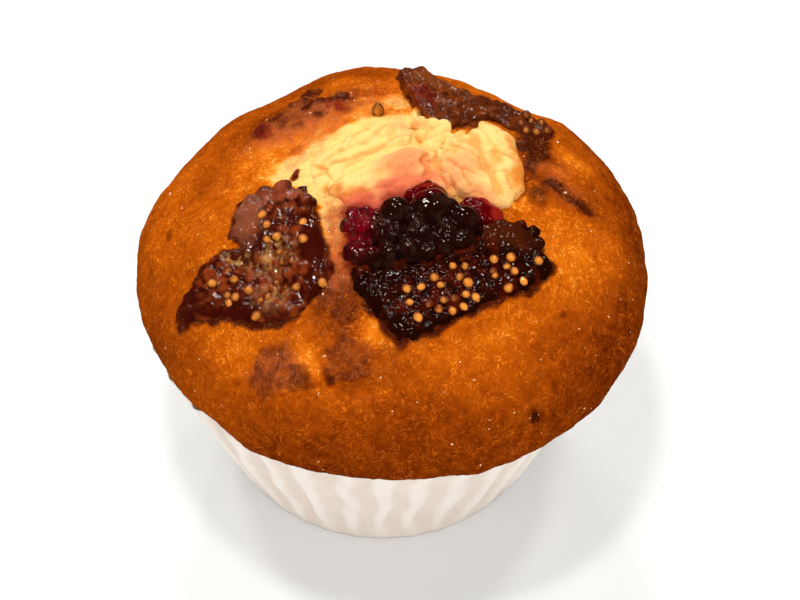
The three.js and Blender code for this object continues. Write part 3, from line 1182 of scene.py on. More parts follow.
@dataclass
class Cake:
    """The domed cake. Its crust is a fine lattice that runs over the dome and in under the lip."""

    node: str = "cake"
    core: tuple[float, float, float] = (1.5, 0.0, 30.0)
    lattice: int = 285
    dome_end: float = 88.0
    join_angles: tuple[float, float] = (79.0, 83.0)
    foot_angles: tuple[float, ...] = (93, 100, 108, 116, 124, 131, 137, 143, 152, 166)
    socket_depth: float = 1.4
    lip: tuple[float, float] = (32.4, 34.2)
    rim: tuple[float, float] = (33.0, 40.5)
    underside: tuple[float, float] = (37.5, 33.5)
    socket_wall: tuple[float, float] = (-0.9, -2.2)
    collar: float = 0.34
    baked: float = 0.545
    rim_baked: float = 0.195
    # How much painted shade darkens the crust under the lip.
    underside_baked: float = 0.12
    patches: tuple[Patch, ...] = (
        # Hardly baked crust beside the toppings.
        *areas(
            Mark.BAKE,
            (-18.5, 6.6, 4.6, 5.6, 35, -0.2, 0.7), (-13.6, 4.4, 3.4, 3.6, 35, -0.36, 0.5),
            (-24.5, 9, 5, 5, 0, 0.07, 0.9), (-10, 14.4, 7, 2.6, 32, -0.14, 0.8),
            (28, -8, 6, 6, 0, -0.13, 0.9), (16, -25, 7, 1.6, 26, -0.08, 0.8),
            (-22, -24, 5, 5, 0, -0.05, 0.9), (-34.5, 3, 4, 12, -8, -0.08, 0.9),
            (-28, 1, 4, 8, 0, 0.05, 0.9), (-20, -28, 6, 4, -20, -0.06, 0.9),
            (-18, 17.4, 5, 2.6, 40, 0.16, 0.8), (-12.6, -25, 5, 2.6, 0, 0.06, 0.8),
            (-11.6, 7.4, 2.2, 5, -30, -0.3, 0.6), (-25, -1.6, 3.4, 6.5, 0, -0.06, 0.8),
            (-7.4, -5.4, 2.2, 7.4, 3, -0.5, 0.5), (-1.3, 19.4, 5.4, 3.6, 5, -0.22, 0.6),
            (2.7, 20.2, 2.4, 3, 0, -0.2, 0.6), (-3.4, 25.4, 6.6, 2.2, 0, -0.18, 0.7),
            (7.4, 13.4, 3.4, 4.4, 10, -0.7, 0.5), (29.8, 10.6, 3, 2.6, -35, -0.22, 0.7),
            (14, -26.6, 7.4, 2.6, 24, -0.02, 0.7), (18, -27, 14, 5, 24, 0.06, 0.9),
            (26.8, -14, 4.4, 5, -20, -0.05, 0.9), (-1.6, -24.6, 1.6, 2.8, 25, -0.2, 0.6),
            (-11, -28.2, 1.3, 3, 24, -0.2, 0.5), (-13.2, 3.1, 0.8, 1.1, -30, 0.8, 0.4),
            (-17, -25.2, 5, 1.6, 8, -0.06, 0.8), (20, -1.6, 2, 1.8, 0, -0.16, 0.5),
        ),
        # Cream cheese and jam that fill the gaps between the toppings.
        *areas(Mark.BAKE, (2, 5, 11, 5.4, 34, -0.7, 0.3), (-7.4, -2.2, 2.2, 1.3, 4, 0.5, 0.5)),
        *areas(
            Mark.RELIEF,
            (1, 4, 9, 2.6, 34, 0.4, 0.4), (8.8, 5.4, 2, 4.6, 10, 0.5, 0.4),
            (5.6, 15.6, 1, 2.6, 12, 0.9, 0.35), (9.6, 1, 1.2, 2.4, 14, 0.7, 0.4),
            (8.8, 12.8, 1.7, 1.1, -10, 1, 0.35), (7.2, 10.8, 1.2, 1.6, 30, 0.8, 0.35),
            (4.6, -14.4, 8.6, 1, 12, 0.7, 0.4),
        ),
        *areas(Mark.ROSE, (9.4, 3.6, 1.8, 5.6, 10, 0.6, 0.5)),
        *areas(Mark.WINE, (-3.4, -4.4, 2.8, 1.8, 20, 1, 0.5)),
        *areas(Mark.JAM, (4, -14.6, 9.4, 1.6, 8, 1, 0.4), (4.6, -14.4, 9.2, 1.9, 12, 1, 0.25)),
        # Browner crust. The wide patch along the front foot, at y -38, is painted shade.
        *areas(
            Mark.BAKE,
            (-22, 20, 9, 5, 40, 0.1, 0.7), (-6, 29, 12, 4.6, 0, 0.18, 0.8), (32, 16, 5, 9, 20, 0.12, 0.7),
            (22.8, 9.4, 2.2, 4.8, -10, 0.36, 0.8), (23.4, 10.6, 2.6, 3, -10, 0.3, 0.6),
            (25.4, 3.6, 1.8, 1.5, -20, 0.16, 0.9), (28.4, 1.2, 3.8, 2, -24, 0.24, 0.8),
            (33.4, 1, 4, 7, 0, 0.1, 0.9), (3, -38, 20, 6, 0, 0.1, 0.8), (34, -20, 7, 14, -30, 0.14, 0.9),
            (39, 4, 4, 10, 0, 0.1, 0.8), (-6.6, -21.4, 3.6, 5.4, 8, 0.16, 0.6),
            (-3, -30, 5.4, 3, 0, 0.1, 0.6), (22, -33, 0.7, 0.6, 0, 0.26, 0.6),
            (-32.7, -1.9, 0.5, 1, 0, 0.3, 0.6), (26.3, -19.6, 0.5, 0.5, 0, 0.3, 0.6),
        ),
        # Rose stains around the berry and the cream cheese.
        *areas(
            Mark.ROSE,
            (-6.6, -8.2, 2.2, 6.6, 4, 0.85, 0.6), (-6.4, -14.4, 2.6, 4, 0, 0.85, 0.6),
            (-10.4, 11.6, 2.6, 6.8, -38, 0.5, 0.7), (-1.3, 19.6, 5.6, 3.8, 5, 0.34, 0.6),
            (25, 6.4, 3.2, 1.8, 10, 0.2, 0.6), (7.6, 12, 2.8, 3.4, 10, 0.2, 0.8),
        ),
        # Jam that ran over the crust.
        *areas(
            Mark.JAM,
            (-12.2, 18, 9.8, 3.8, 26, 0.28, 0.6), (-16.6, 17, 1.6, 0.8, 40, 0.8, 0.2),
            (-9.6, 17.4, 1.5, 0.9, 10, 0.75, 0.2), (-13.6, 19.6, 1.3, 0.9, 30, 0.85, 0.2),
            (-5.6, 21.6, 1.6, 0.8, 0, 0.8, 0.2), (-11.5, 24.2, 1.7, 2.4, 10, 0.95, 0.2),
            (-8.2, 20.8, 2.4, 1.4, 8, 0.9, 0.2), (-13.4, 15, 1.3, 1.1, 0, 0.7, 0.35),
            (-11.8, 19.4, 1, 2, -20, 0.95, 0.25), (-14.4, 16.2, 1.8, 1.2, 20, 0.7, 0.35),
            (-11.8, 18.6, 9.4, 2.2, 26, 0.45, 0.3), (-18.6, 14.8, 1, 1.4, 0, 0.6, 0.4),
            (6.2, 19.6, 1.5, 4.6, 14, 0.8, 0.4), (22.6, 11, 2, 3.4, -6, 0.95, 0.5),
            (24.6, 9.6, 2.8, 1.5, -12, 0.55, 0.8), (22.6, 6.4, 1, 3, -4, 0.6, 0.6),
            (12.6, 14.6, 3.6, 1.3, -14, 0.85, 0.4), (20.8, 1.2, 1, 2.4, -16, 0.6, 0.5),
            (23.4, 0.8, 1.6, 2.4, -20, 0.5, 0.5), (26, 3.4, 1.7, 0.9, -24, 0.7, 0.45),
            (29.8, 0.5, 1.9, 1.1, -24, 0.8, 0.45), (27.8, 2, 2.4, 0.7, -30, 0.6, 0.5),
            (-16.6, -28.2, 2.4, 3, -30, 0.46, 0.18, 3), (-14, -29.8, 3.9, 1.5, -8, 0.52, 0.15, 4),
            (-11.4, -31, 1.2, 0.7, -10, 0.6, 0.4), (-5.4, -27.6, 2.4, 2.2, 20, 0.38, 0.25),
            (-4.6, -29.8, 3.6, 1.6, 0, 0.42, 0.18, 4), (-7.4, -31, 0.8, 0.7, 0, 0.8, 0.4),
            (-2.2, -29, 4.2, 2.6, 0, 0.18, 0.7), (-6.2, -20, 3, 5.4, 10, 0.48, 0.7),
            (-9, -19.4, 0.9, 2.6, 10, 0.36, 0.6), (-3.6, -16.8, 1.2, 2.2, 0, 0.9, 0.4),
            (-13.2, 3, 0.7, 0.9, -30, 0.6, 0.4),
        ),
        *areas(
            Mark.ROSE,
            (-12, 16, 8.8, 3.6, 26, 0.6, 0.6), (27, 2.4, 4.6, 2.2, -26, 0.1, 0.8),
            (-15.4, -28.8, 4, 2.4, -14, 0.4, 0.3), (-4.8, -28.4, 3, 2.4, 10, 0.12, 0.4),
            (-6.8, -17.6, 2.6, 3.4, 10, 0.2, 0.7),
        ),
        *areas(
            Mark.WINE,
            (-7, 20, 2.8, 1.8, 8, 0.6, 0.3), (-18.6, 14.6, 1.4, 1.8, 0, 0.9, 0.4),
            (-6.4, 18.6, 1.6, 1.4, 0, 0.9, 0.4), (-4.6, -6.6, 1.2, 3.4, 0, 0.9, 0.5),
            (-13.2, 3.2, 0.8, 1.1, -30, 0.9, 0.4), (8.4, -3.6, 5.4, 1.8, -8, 0.9, 0.5),
        ),
    )
    creases: tuple[Crease, ...] = creases_along(
        (0.4, -0.8, (-6.2, 21.6), (-3.2, 22.4), (-0.6, 23.4), (2.6, 23.6)),
        (1.1, 0.7, (-6.4, 22.8), (-3.2, 23.7), (-0.6, 24.8), (3, 25)),
        (0.4, -0.6, (3.6, -29.6), (2.9, -31.2), (3.3, -32.6), (2.8, -33.6)),
        (1.2, 0.4, (4.6, -29.6), (4.3, -31.4), (4.6, -33)),
        (0.9, 0.6, (-11.8, -26.4), (-11.4, -28.2), (-10.6, -30)),
        (0.5, -0.7, (-18.4, -31.2), (-14, -31.9), (-9, -31.8), (-2, -32.6)),
        (1.5, 0.6, (-19, -32.8), (-14, -33.6), (-8.5, -33.6), (-1, -34.3)),
        (0.4, -0.6, (20.9, -2.6), (19.9, -1), (20.4, 1), (21.8, 3)),
        (0.5, -0.6, (24.2, 4.4), (26.6, 2.8), (28.6, 1.6), (31, -0.2)),
        (1.6, 0.5, (25, 6.6), (27.8, 5), (30.6, 3)), (0.3, -0.4, (-9.2, -2.6), (-7.4, -4.4), (-6, -4.2)),
        (0.3, -0.4, (-8.6, -5.6), (-7.2, -7), (-6, -8.6)),
        (0.3, -0.4, (-7.4, -4.4), (-7.6, -7), (-6.8, -10.4)),
        (0.3, -0.4, (-8.2, -10.8), (-6.8, -12), (-5.4, -12)),
        (1, 0.4, (-11.6, 9.4), (-9.4, 12.6), (-6.4, 15.8)),
        (0.7, 0.35, (-14.8, 8.6), (-13, 5.2), (-12.4, 2.8)),
        (1.4, 0.7, (-18.8, 15.4), (-15.6, 17.6), (-12, 20.4), (-7.4, 19.8)),
        (1.1, 0.5, (-12.4, 21), (-11.4, 25)),
    )
    dome_step: float = 1.0
    side_steps: tuple[float, float] = (0.4, 2.0)
    mesh: Mesh = field(init=False)
    _dome: Array = field(init=False)
    _side: Array = field(init=False)

    def build(self, material: Material, toppings: tuple["Topping", ...]) -> Piece:
        """Makes the cake.

        Args:
            material: The crust's finish.
            toppings: The toppings that are baked into it.

        Returns:
            The piece.
        """
        self._measure()
        mesh = bpy.data.meshes.new("cake_crust")
        points, faces = self._skin()
        mesh.from_pydata((points * MM).tolist(), [], faces)
        mesh.update()
        heights, marks = self._relief(points, toppings)
        move(mesh, points + normals_of(mesh) * heights[:, None])
        write_marks(mesh, marks)
        self.mesh = mesh
        return shown("cake_crust", mesh, material, (self.node,))

    def _measure(self) -> None:
        """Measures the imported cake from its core: its dome without the sockets, and its side."""
        cake = Probe([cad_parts[self.node].data])
        rest = (self.node, PaperCase.node)
        toppings = Probe([piece.data for name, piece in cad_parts.items() if name not in rest])
        core = np.array(self.core)
        turns = np.arange(-self.dome_end, self.dome_end + 1, self.dome_step)
        u, v = np.meshgrid(turns, turns, indexing="ij")
        polar = np.minimum(np.hypot(u, v), self.join_angles[1])
        rays = self._directions(polar, np.arctan2(v, u)).reshape(-1, 3)
        reach = cake.outwards(core, rays).reshape(u.shape)
        bare = np.isnan(toppings.outwards(core, rays)).reshape(u.shape)
        bare = blurred(bare.astype(float), 0.8) > 0.93
        self._dome = blurred(healed(reach, bare, 6.0, 400), 3.0)
        polars = np.arange(self.join_angles[0] - 2, 180.2, self.side_steps[0])
        angles = np.arange(0, 360, self.side_steps[1])
        polar, angle = np.meshgrid(polars, angles, indexing="ij")
        rays = self._directions(polar, np.radians(angle)).reshape(-1, 3)
        side = cake.outwards(core, rays).reshape(polar.shape)
        wrapped = np.concatenate([side, side, side], axis=1)
        self._side = blurred(wrapped.T, 1.3).T[:, len(angles) : 2 * len(angles) + 1]

    @staticmethod
    def _directions(polar: Array, angle: Array) -> Array:
        """Directions seen from the core.

        Args:
            polar: Degrees from straight up.
            angle: The turn around the core, in radians.

        Returns:
            The directions, each 1 long.
        """
        tilt = np.radians(polar)
        flat = np.sin(tilt)
        return np.stack([flat * np.cos(angle), flat * np.sin(angle), np.cos(tilt)], axis=-1)

    def _places(self, polar: Array, angle: Array) -> Array:
        """Points on the plain surface of the cake.

        Args:
            polar: Degrees from straight up, seen from the core.
            angle: The turn around the core, in radians.

        Returns:
            The points.
        """
        first = self.dome_end / self.dome_step
        u, v = polar * np.cos(angle), polar * np.sin(angle)
        dome = sampled(self._dome, u / self.dome_step + first, v / self.dome_step + first)
        rows = (polar - self.join_angles[0] + 2) / self.side_steps[0]
        side = sampled(self._side, rows, np.degrees(angle) % 360 / self.side_steps[1])
        share = eased(*self.join_angles, polar)
        reach = dome * (1 - share) + side * share
        return np.array(self.core) + self._directions(polar, angle) * reach[..., None]

    def _skin(self) -> tuple[Array, list[tuple[int, ...]]]:
        """The closed lattice: squares over the dome, then rings down the side and under the foot.

        Returns:
            The points, and the faces that join them.
        """
        polars = np.linspace(0, self.dome_end, 300)
        turns = np.radians(np.arange(0, 360, 5))
        rings = self._places(*np.meshgrid(polars, turns, indexing="ij"))
        radius = np.hypot(rings[..., 0] - self.core[0], rings[..., 1] - self.core[1]).mean(axis=1)
        height = rings[..., 2].mean(axis=1)
        run = np.hypot(np.diff(radius), np.diff(height))
        area = np.concatenate([[0], np.cumsum(run * (radius[1:] + radius[:-1]) / 2)])
        side = np.linspace(-1, 1, self.lattice)
        a, b = np.meshgrid(side, side, indexing="ij")
        wide = np.abs(a) > np.abs(b)
        long = np.where(wide, a, b)
        short = np.where(wide, b, a)
        slope = np.divide(short, long, out=np.zeros_like(short), where=long != 0) * math.pi / 4
        angle = np.where(wide, slope, math.pi / 2 - slope) + np.where(long < 0, math.pi, 0)
        polar = np.interp(np.abs(long) ** 2 * area[-1], area, polars)
        points = [self._places(polar, angle).reshape(-1, 3)]
        at = np.arange(a.size).reshape(a.shape)
        corners = [at[:-1, :-1], at[1:, :-1], at[1:, 1:], at[:-1, 1:]]
        faces = np.stack(corners, axis=-1).reshape(-1, 4).tolist()
        loop = np.concatenate([at[:-1, 0], at[-1, :-1], at[:0:-1, -1], at[0, :0:-1]])
        turn = angle.ravel()[loop]
        count = at.size
        for foot in self.foot_angles:
            points.append(self._places(np.full(len(loop), float(foot)), turn))
            ring = np.arange(count, count + len(loop))
            faces += np.stack([loop, ring, np.roll(ring, -1), np.roll(loop, -1)], axis=-1).tolist()
            loop = ring
            count += len(ring)
        points.append(self._places(np.array([180.0]), np.array([0.0])))
        faces += [(int(i), count, int(j)) for i, j in zip(loop, np.roll(loop, -1))]
        return np.concatenate(points), faces

    def _relief(self, points: Array, toppings: tuple["Topping", ...]) -> Relief:
        """The crust's lumps, wrinkles, pores and sockets, and how brown it is, with painted shade under its
        lip.

        Args:
            points: The plain surface.
            toppings: The toppings.

        Returns:
            How far each point is raised, and the marks.
        """
        noise = Noise(11)
        shown_part = eased(*self.lip, points[:, 2])
        uneven = noise.waves(points, 2.6, 2)
        marks = marked(self.patches, (Mark.JAM, Mark.ROSE, Mark.WINE), points, uneven)
        marks[Mark.JAM] *= 0.6 + 0.55 * eased(-0.4, 0.35, noise.waves(points, 1.5, 2))
        for mark in (Mark.BAKE, Mark.RELIEF):
            marks[mark] = sum(patch.share(points, uneven) for patch in self.patches if patch.mark is mark)
        away = np.hypot(points[:, 0] - self.core[0], points[:, 1] - self.core[1])
        # Darker towards the rim.
        rim = self.rim_baked * eased(*self.rim, away)
        # Painted shade: darker where the crust turns in under the lip.
        under = self.underside_baked * eased(*self.underside, points[:, 2])
        marks[Mark.BAKE] += self.baked + rim + under + 0.04 * noise.waves(points, 14.0)
        outside = np.array([topping.footprint.outside(points) for topping in toppings])
        for topping, gap in zip(toppings, outside):
            share = eased(topping.stain_reach, 0.0, gap + 0.6 * uneven)
            if topping.stain is Mark.BAKE:
                marks[Mark.BAKE] -= 0.5 * share
            elif topping.stain:
                marks[topping.stain] = np.maximum(marks[topping.stain], share)

        wet = np.maximum(marks[Mark.JAM], 0.7 * marks[Mark.WINE])
        lumps = 0.4 * noise.waves(points, 9.0) + 0.2 * noise.waves(points, 4.6, 2)
        fine = 0.08 * noise.waves(points, 2.1) + 0.06 * noise.threads(points, 1.9, 0.16)
        apart, _, pick = noise.cells(points, 4.6)
        pores = -0.34 * hump(apart, 0.5) * (pick > 0.5) - 0.3 * hump(apart, 0.3) * (pick < 0.2)
        ripples = wet * (0.36 * noise.waves(points, 1.7, 2) + 0.16 * noise.threads(points, 1.5, 0.2))
        heights = lumps + (fine + pores) * (1 - 0.65 * wet) + 0.16 * eased(0.25, 0.8, wet) + ripples
        heights += marks[Mark.RELIEF]
        for crease in self.creases:
            heights += crease.height * crease.share(points + 0.4 * uneven[:, None])
        outside = np.sort(outside, axis=0)
        heights -= self.socket_depth * eased(*self.socket_wall, outside[0])
        collar = hump(outside[0] - 0.8, 0.9) * (1 + 0.8 * uneven) * eased(1.6, 4.5, outside[1])
        heights += self.collar * collar
        # The crust's colour reads this: painted light on the lumps, painted shade in the pores.
        marks[Mark.RELIEF] = fine + pores + 0.35 * lumps
        return heights * shown_part, marks


# -------------------- the toppings


@dataclass(frozen=True)
class Lobe:
    """One round part of a topping: its place in the plan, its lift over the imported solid, and its size."""

    x: float
    y: float
    lift: float
    radius: float


def lobes_at(*rows: tuple[float, ...]) -> tuple[Lobe, ...]:
    """Lobes. Each row holds a lobe's values, in order."""
    return tuple(Lobe(*row) for row in rows)


@dataclass
class Topping:
    """A piece baked into the crust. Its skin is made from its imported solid."""

    LOBE_SINK: ClassVar[float] = 0.72
    LIFT_SHARE: ClassVar[float] = 0.3

    node: str
    cell: float = 0.2
    smoothing: int = 6
    sink: float = 0.5
    seed: int = 1
    lobes: tuple[Lobe, ...] = ()
    patches: tuple[Patch, ...] = ()
    creases: tuple[Crease, ...] = ()
    small_lobes: int = 0
    small_radius: tuple[float, float] = (0.9, 1.8)
    level: float = 54.0
    stain: Mark | None = None
    stain_reach: float = 1.5
    footprint: Footprint = field(init=False)
    mesh: Mesh = field(init=False)

    def __post_init__(self) -> None:
        """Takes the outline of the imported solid."""
        self.footprint = Footprint(self.node)

    def skin(self) -> Mesh:
        """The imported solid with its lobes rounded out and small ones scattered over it.

        Returns:
            The even skin.
        """
        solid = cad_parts[self.node].data
        probe = Probe([solid])
        low, high = (np.array(corner) * PER_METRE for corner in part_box(self.node))
        draw = np.random.default_rng(self.seed)
        spots = draw.uniform(low[:2] + 1.4, high[:2] - 1.4, (8 * self.small_lobes, 2))
        deep = self.footprint.outside(spots) < -1.2
        small = [
            Lobe(x, y, 0.0, draw.uniform(*self.small_radius)) for x, y in spots[deep][: self.small_lobes]
        ]
        heap = bmesh.new()
        heap.from_mesh(solid)
        for lobe in (*self.lobes, *small):
            top = probe.tops(np.array([[lobe.x, lobe.y]]))[0]
            base = self.level if math.isnan(top) else top
            height = base - self.LOBE_SINK * lobe.radius + self.LIFT_SHARE * lobe.lift
            ball = bmesh.ops.create_icosphere(heap, subdivisions=3, radius=lobe.radius * MM)
            stretch = draw.uniform(0.9, 1.12, 3)
            for vertex in ball["verts"]:
                vertex.co = Vector(vertex.co * Vector(stretch)) + Vector((lobe.x, lobe.y, height)) * MM
        joined = bpy.data.meshes.new(f"{self.node}_heap")
        heap.to_mesh(joined)
        heap.free()
        return remeshed(self.node, joined, self.cell, self.smoothing)

    def relief(self, points: Array, noise: Noise) -> Relief:
        """How far each point is raised, and the marks. Each kind of topping has its own."""
        raise NotImplementedError

    def build(self, material: Material, slot: Slot) -> Piece:
        """Makes the topping.

        Args:
            material: Its finish.
            slot: The record's slot for its finish. It is not used.

        Returns:
            The piece.
        """
        mesh = self.skin()
        points = points_of(mesh)
        heights, marks = self.relief(points, Noise(self.seed))
        move(mesh, points + normals_of(mesh) * heights[:, None] - np.array([0, 0, self.sink]))
        write_marks(mesh, marks)
        self.mesh = mesh
        return shown(f"{self.node}_flesh", mesh, material, (self.node,))


@dataclass
class Fig(Topping):
    """A piece of baked fig: seedy pulp inside a band of skin."""

    cell: float = 0.18
    sink: float = 0.3
    stain: Mark | None = Mark.JAM
    stain_reach: float = 0.7
    skin_width: float = 1.0
    lump: float = 0.2
    swelling: float = 0.34

    def relief(self, points: Array, noise: Noise) -> Relief:
        """Juice sacs over the pulp and a scalloped skin along the edge.

        Args:
            points: The plain skin.
            noise: This piece's waves.

        Returns:
            How far each point is raised, and the marks.
        """
        uneven = noise.waves(points, 2.0, 2)
        kinds = (Mark.PULP, Mark.MUSH, Mark.SKIN, Mark.RELIEF, Mark.WINE)
        marks = marked(self.patches, kinds, points, uneven)
        edge = eased(-self.skin_width, -0.2, self.footprint.outside(points))
        rough = 1 - np.maximum(0.6 * marks[Mark.SKIN], 0.85 * marks[Mark.RELIEF])
        heights = self.lump * rough * noise.sacs(points, 2.0) * (1 - edge)
        heights += self.swelling * noise.waves(points, 3.6) * (0.4 + 0.6 * rough)
        heights += rough * (0.12 * noise.waves(points, 1.7) + 0.03 * noise.threads(points, 1.8, 0.2))
        scallop, _, _ = noise.cells(points, 2.0)
        heights += edge * (0.55 * hump(scallop, 0.9) - 0.15)
        for crease in self.creases:
            heights += crease.height * crease.share(points + 0.3 * uneven[:, None])
        return heights, marks


@dataclass
class CreamLump(Topping):
    """A lump of baked cream cheese with folds, cracks and toasted or stained parts."""

    cell: float = 0.22
    smoothing: int = 10
    sink: float = 1.0
    lump: float = 0.3

    def relief(self, points: Array, noise: Noise) -> Relief:
        """Soft swellings, folds and cracks.

        Args:
            points: The plain skin.
            noise: This piece's waves.

        Returns:
            How far each point is raised, and the marks.
        """
        uneven = noise.waves(points, 2.2, 2)
        bent = noise.bent(points, 3.0, 0.7)
        heights = self.lump * noise.waves(points, 3.4, 2) + 0.05 * noise.waves(points, 1.0)
        heights -= 0.12 * noise.threads(points, 3.2, 0.07)
        for crease in self.creases:
            heights += crease.height * crease.share(bent)
        marks = marked(self.patches, (Mark.BAKE, Mark.ROSE, Mark.WINE), points, uneven)
        marks[Mark.RELIEF] = heights
        return heights, marks


@dataclass
class Berry(Topping):
    """The dark berry: large smooth lobes at its back and a wrinkled heap of small ones in front."""

    patches: tuple[Patch, ...] = areas(
        Mark.WINE,
        (-3.8, -8.4, 2.2, 4.4, 6, 1, 0.5), (-2.6, -5, 3.2, 2.2, 20, 1, 0.6),
        (-1.2, -6, 2.4, 1.6, 30, 0.8, 0.5), (-2.6, -13.4, 2.4, 2.2, 0, 0.3, 0.6),
        (4.6, -5.2, 4, 1, 0, 0.5, 0.6),
    )

    def relief(self, points: Array, noise: Noise) -> Relief:
        """Wrinkles between the lobes, which stay smooth where they are large.

        Args:
            points: The plain skin.
            noise: This piece's waves.

        Returns:
            How far each point is raised, and the marks.
        """
        uneven = noise.waves(points, 1.8, 2)
        near = [
            hump(np.hypot(points[:, 0] - lobe.x, points[:, 1] - lobe.y), 0.8 * lobe.radius)
            for lobe in self.lobes
        ]
        smooth = np.clip(1.6 * np.max(near, axis=0), 0, 1)
        rough = 1 - 0.85 * smooth
        heights = rough * (0.16 * noise.sacs(points, 1.8) + 0.14 * uneven)
        heights += 0.2 * noise.waves(points, 2.8)
        marks = marked(self.patches, (Mark.WINE,), points, uneven)
        marks[Mark.SKIN] = smooth
        return heights, marks


@dataclass
class RedFruit(Topping):
    """A piece of soft red fruit, paler where it is thin."""

    cell: float = 0.17
    stain: Mark | None = Mark.WINE

    def relief(self, points: Array, noise: Noise) -> Relief:
        """Soft dents, and paler areas.

        Args:
            points: The plain skin.
            noise: This piece's waves.

        Returns:
            How far each point is raised, and the marks.
        """
        uneven = noise.waves(points, 2.0, 2)
        heights = 0.5 * noise.waves(points, 2.8, 2)
        return heights, marked(self.patches, (Mark.ROSE,), points, uneven)


# -------------------- grains


def dressed_end(wires: Wiring, made: Socket, material: Socket) -> None:
    """Ends a geometry tree: makes its instances real and sets their material.

    Args:
        wires: The tree's wiring.
        made: What the tree has made.
        material: The material's socket.
    """
    single = wires.place("GeometryNodeRealizeInstances", {0: made}).outputs[0]
    dressed = wires.place("GeometryNodeSetMaterial", {"Geometry": single, "Material": material})
    wires.place("NodeGroupOutput", {0: dressed.outputs[0]})


def grain_tree() -> Tree:
    """The geometry tree that sets a pointed grain on every point of a mesh.

    Returns:
        The tree.
    """
    inputs = {
        "Geometry": "Geometry", "Length": 1.6 * MM, "Width": 1.4 * MM, "Point": 0.2, "Fineness": 3,
        "Lean": 0.0, "Tumble": math.tau, "Seed": 0, "Material": "Material",
    }
    tree, wires, given = new_group("grains_on_points", "Geometry", inputs, ("Geometry", "Geometry"))
    ball = wires.place("GeometryNodeMeshIcoSphere", {"Radius": 1.0, "Subdivisions": given["Fineness"]})
    position = wires.place("GeometryNodeInputPosition").outputs[0]
    tip = wires.math("MAXIMUM", wires.parts(position)["Z"], 0.0)
    narrowing = wires.rest(wires.times(wires.times(tip, tip), given["Point"]))
    half_width = wires.times(wires.times(given["Width"], 0.5), narrowing)
    half_length = wires.times(given["Length"], 0.5)
    shaped = wires.vector("MULTIPLY", position, wires.joined(half_width, half_width, half_length))
    grain = wires.place("GeometryNodeSetPosition", {"Geometry": ball.outputs["Mesh"], "Position": shaped})
    turn = wires.place("FunctionNodeRandomValue", {"Seed": given["Seed"]}, data_type="FLOAT_VECTOR")
    tumbled = wires.scaled(turn.outputs[0], given["Tumble"])
    rotation = wires.vector("ADD", wires.joined(given["Lean"]), tumbled)
    girth = wires.place("GeometryNodeInputNamedAttribute", {"Name": Mark.GIRTH.value}, data_type="FLOAT")
    feeds = {
        "Points": given["Geometry"], "Instance": grain.outputs[0], "Rotation": rotation,
        "Scale": girth.outputs[0],
    }
    dressed_end(wires, wires.place("GeometryNodeInstanceOnPoints", feeds).outputs[0], given["Material"])
    return tree


def grown(name: str, mesh: Mesh, tree: Tree, values: dict[str, object], wall: float = 0.0) -> Mesh:
    """What a geometry tree makes of a mesh.

    Args:
        name: The result's name.
        mesh: What the tree starts from.
        tree: The tree.
        values: Its named inputs.
        wall: A sheet's thickness, in millimetres, or 0 for what is solid already.

    Returns:
        The mesh.
    """
    carrier = bpy.data.objects.new(name, mesh)
    bpy.context.scene.collection.objects.link(carrier)
    modifier = carrier.modifiers.new("made_by_rule", "NODES")
    modifier.node_group = tree
    sockets = {item.name: item.identifier for item in tree.interface.items_tree if item.in_out == "INPUT"}
    for socket, value in values.items():
        modifier[sockets[socket]] = value
    if wall:
        thick = carrier.modifiers.new("wall", "SOLIDIFY")
        thick.thickness = wall * MM
        thick.offset = -1.0
    return baked(carrier)


@dataclass(frozen=True)
class Grain:
    """One grain: where it sits in the plan, how large it is for its kind, how deep and how pale."""

    x: float
    y: float
    girth: float = 1.0
    sunk: float = 0.35
    tone: float = 1.0


@dataclass
class Grains:
    """Grains of one kind that sit on a surface."""

    name: str
    length: float
    width: float
    point: float
    grains: tuple[Grain, ...]
    fineness: int = 3
    lean: float = 0.0
    tumble: float = math.tau
    seed: int = 0

    def build(self, tree: Tree, probe: Probe, material: Material, slot: Slot) -> Piece:
        """Sets the grains down.

        Args:
            tree: The geometry tree for grains.
            probe: Rays for the surface that they sit on.
            material: Their finish.
            slot: The record's slot for their finish. It is not used.

        Returns:
            The piece.
        """
        x, y, girths, sunk, tones = np.array([astuple(grain) for grain in self.grains]).T
        heights = probe.tops(np.column_stack([x, y])) + self.width * girths * (0.5 - sunk)
        seats = bpy.data.meshes.new(self.name)
        seats.from_pydata((np.column_stack([x, y, heights]) * MM).tolist(), [], [])
        write_marks(seats, {Mark.GIRTH: girths, Mark.TONE: tones})
        values = {
            "Length": self.length * MM, "Width": self.width * MM, "Point": self.point,
            "Fineness": self.fineness, "Lean": self.lean, "Tumble": self.tumble, "Seed": self.seed,
            "Material": material,
        }
        return shown(self.name, grown(self.name, seats, tree, values), material)


# -------------------- the paper case


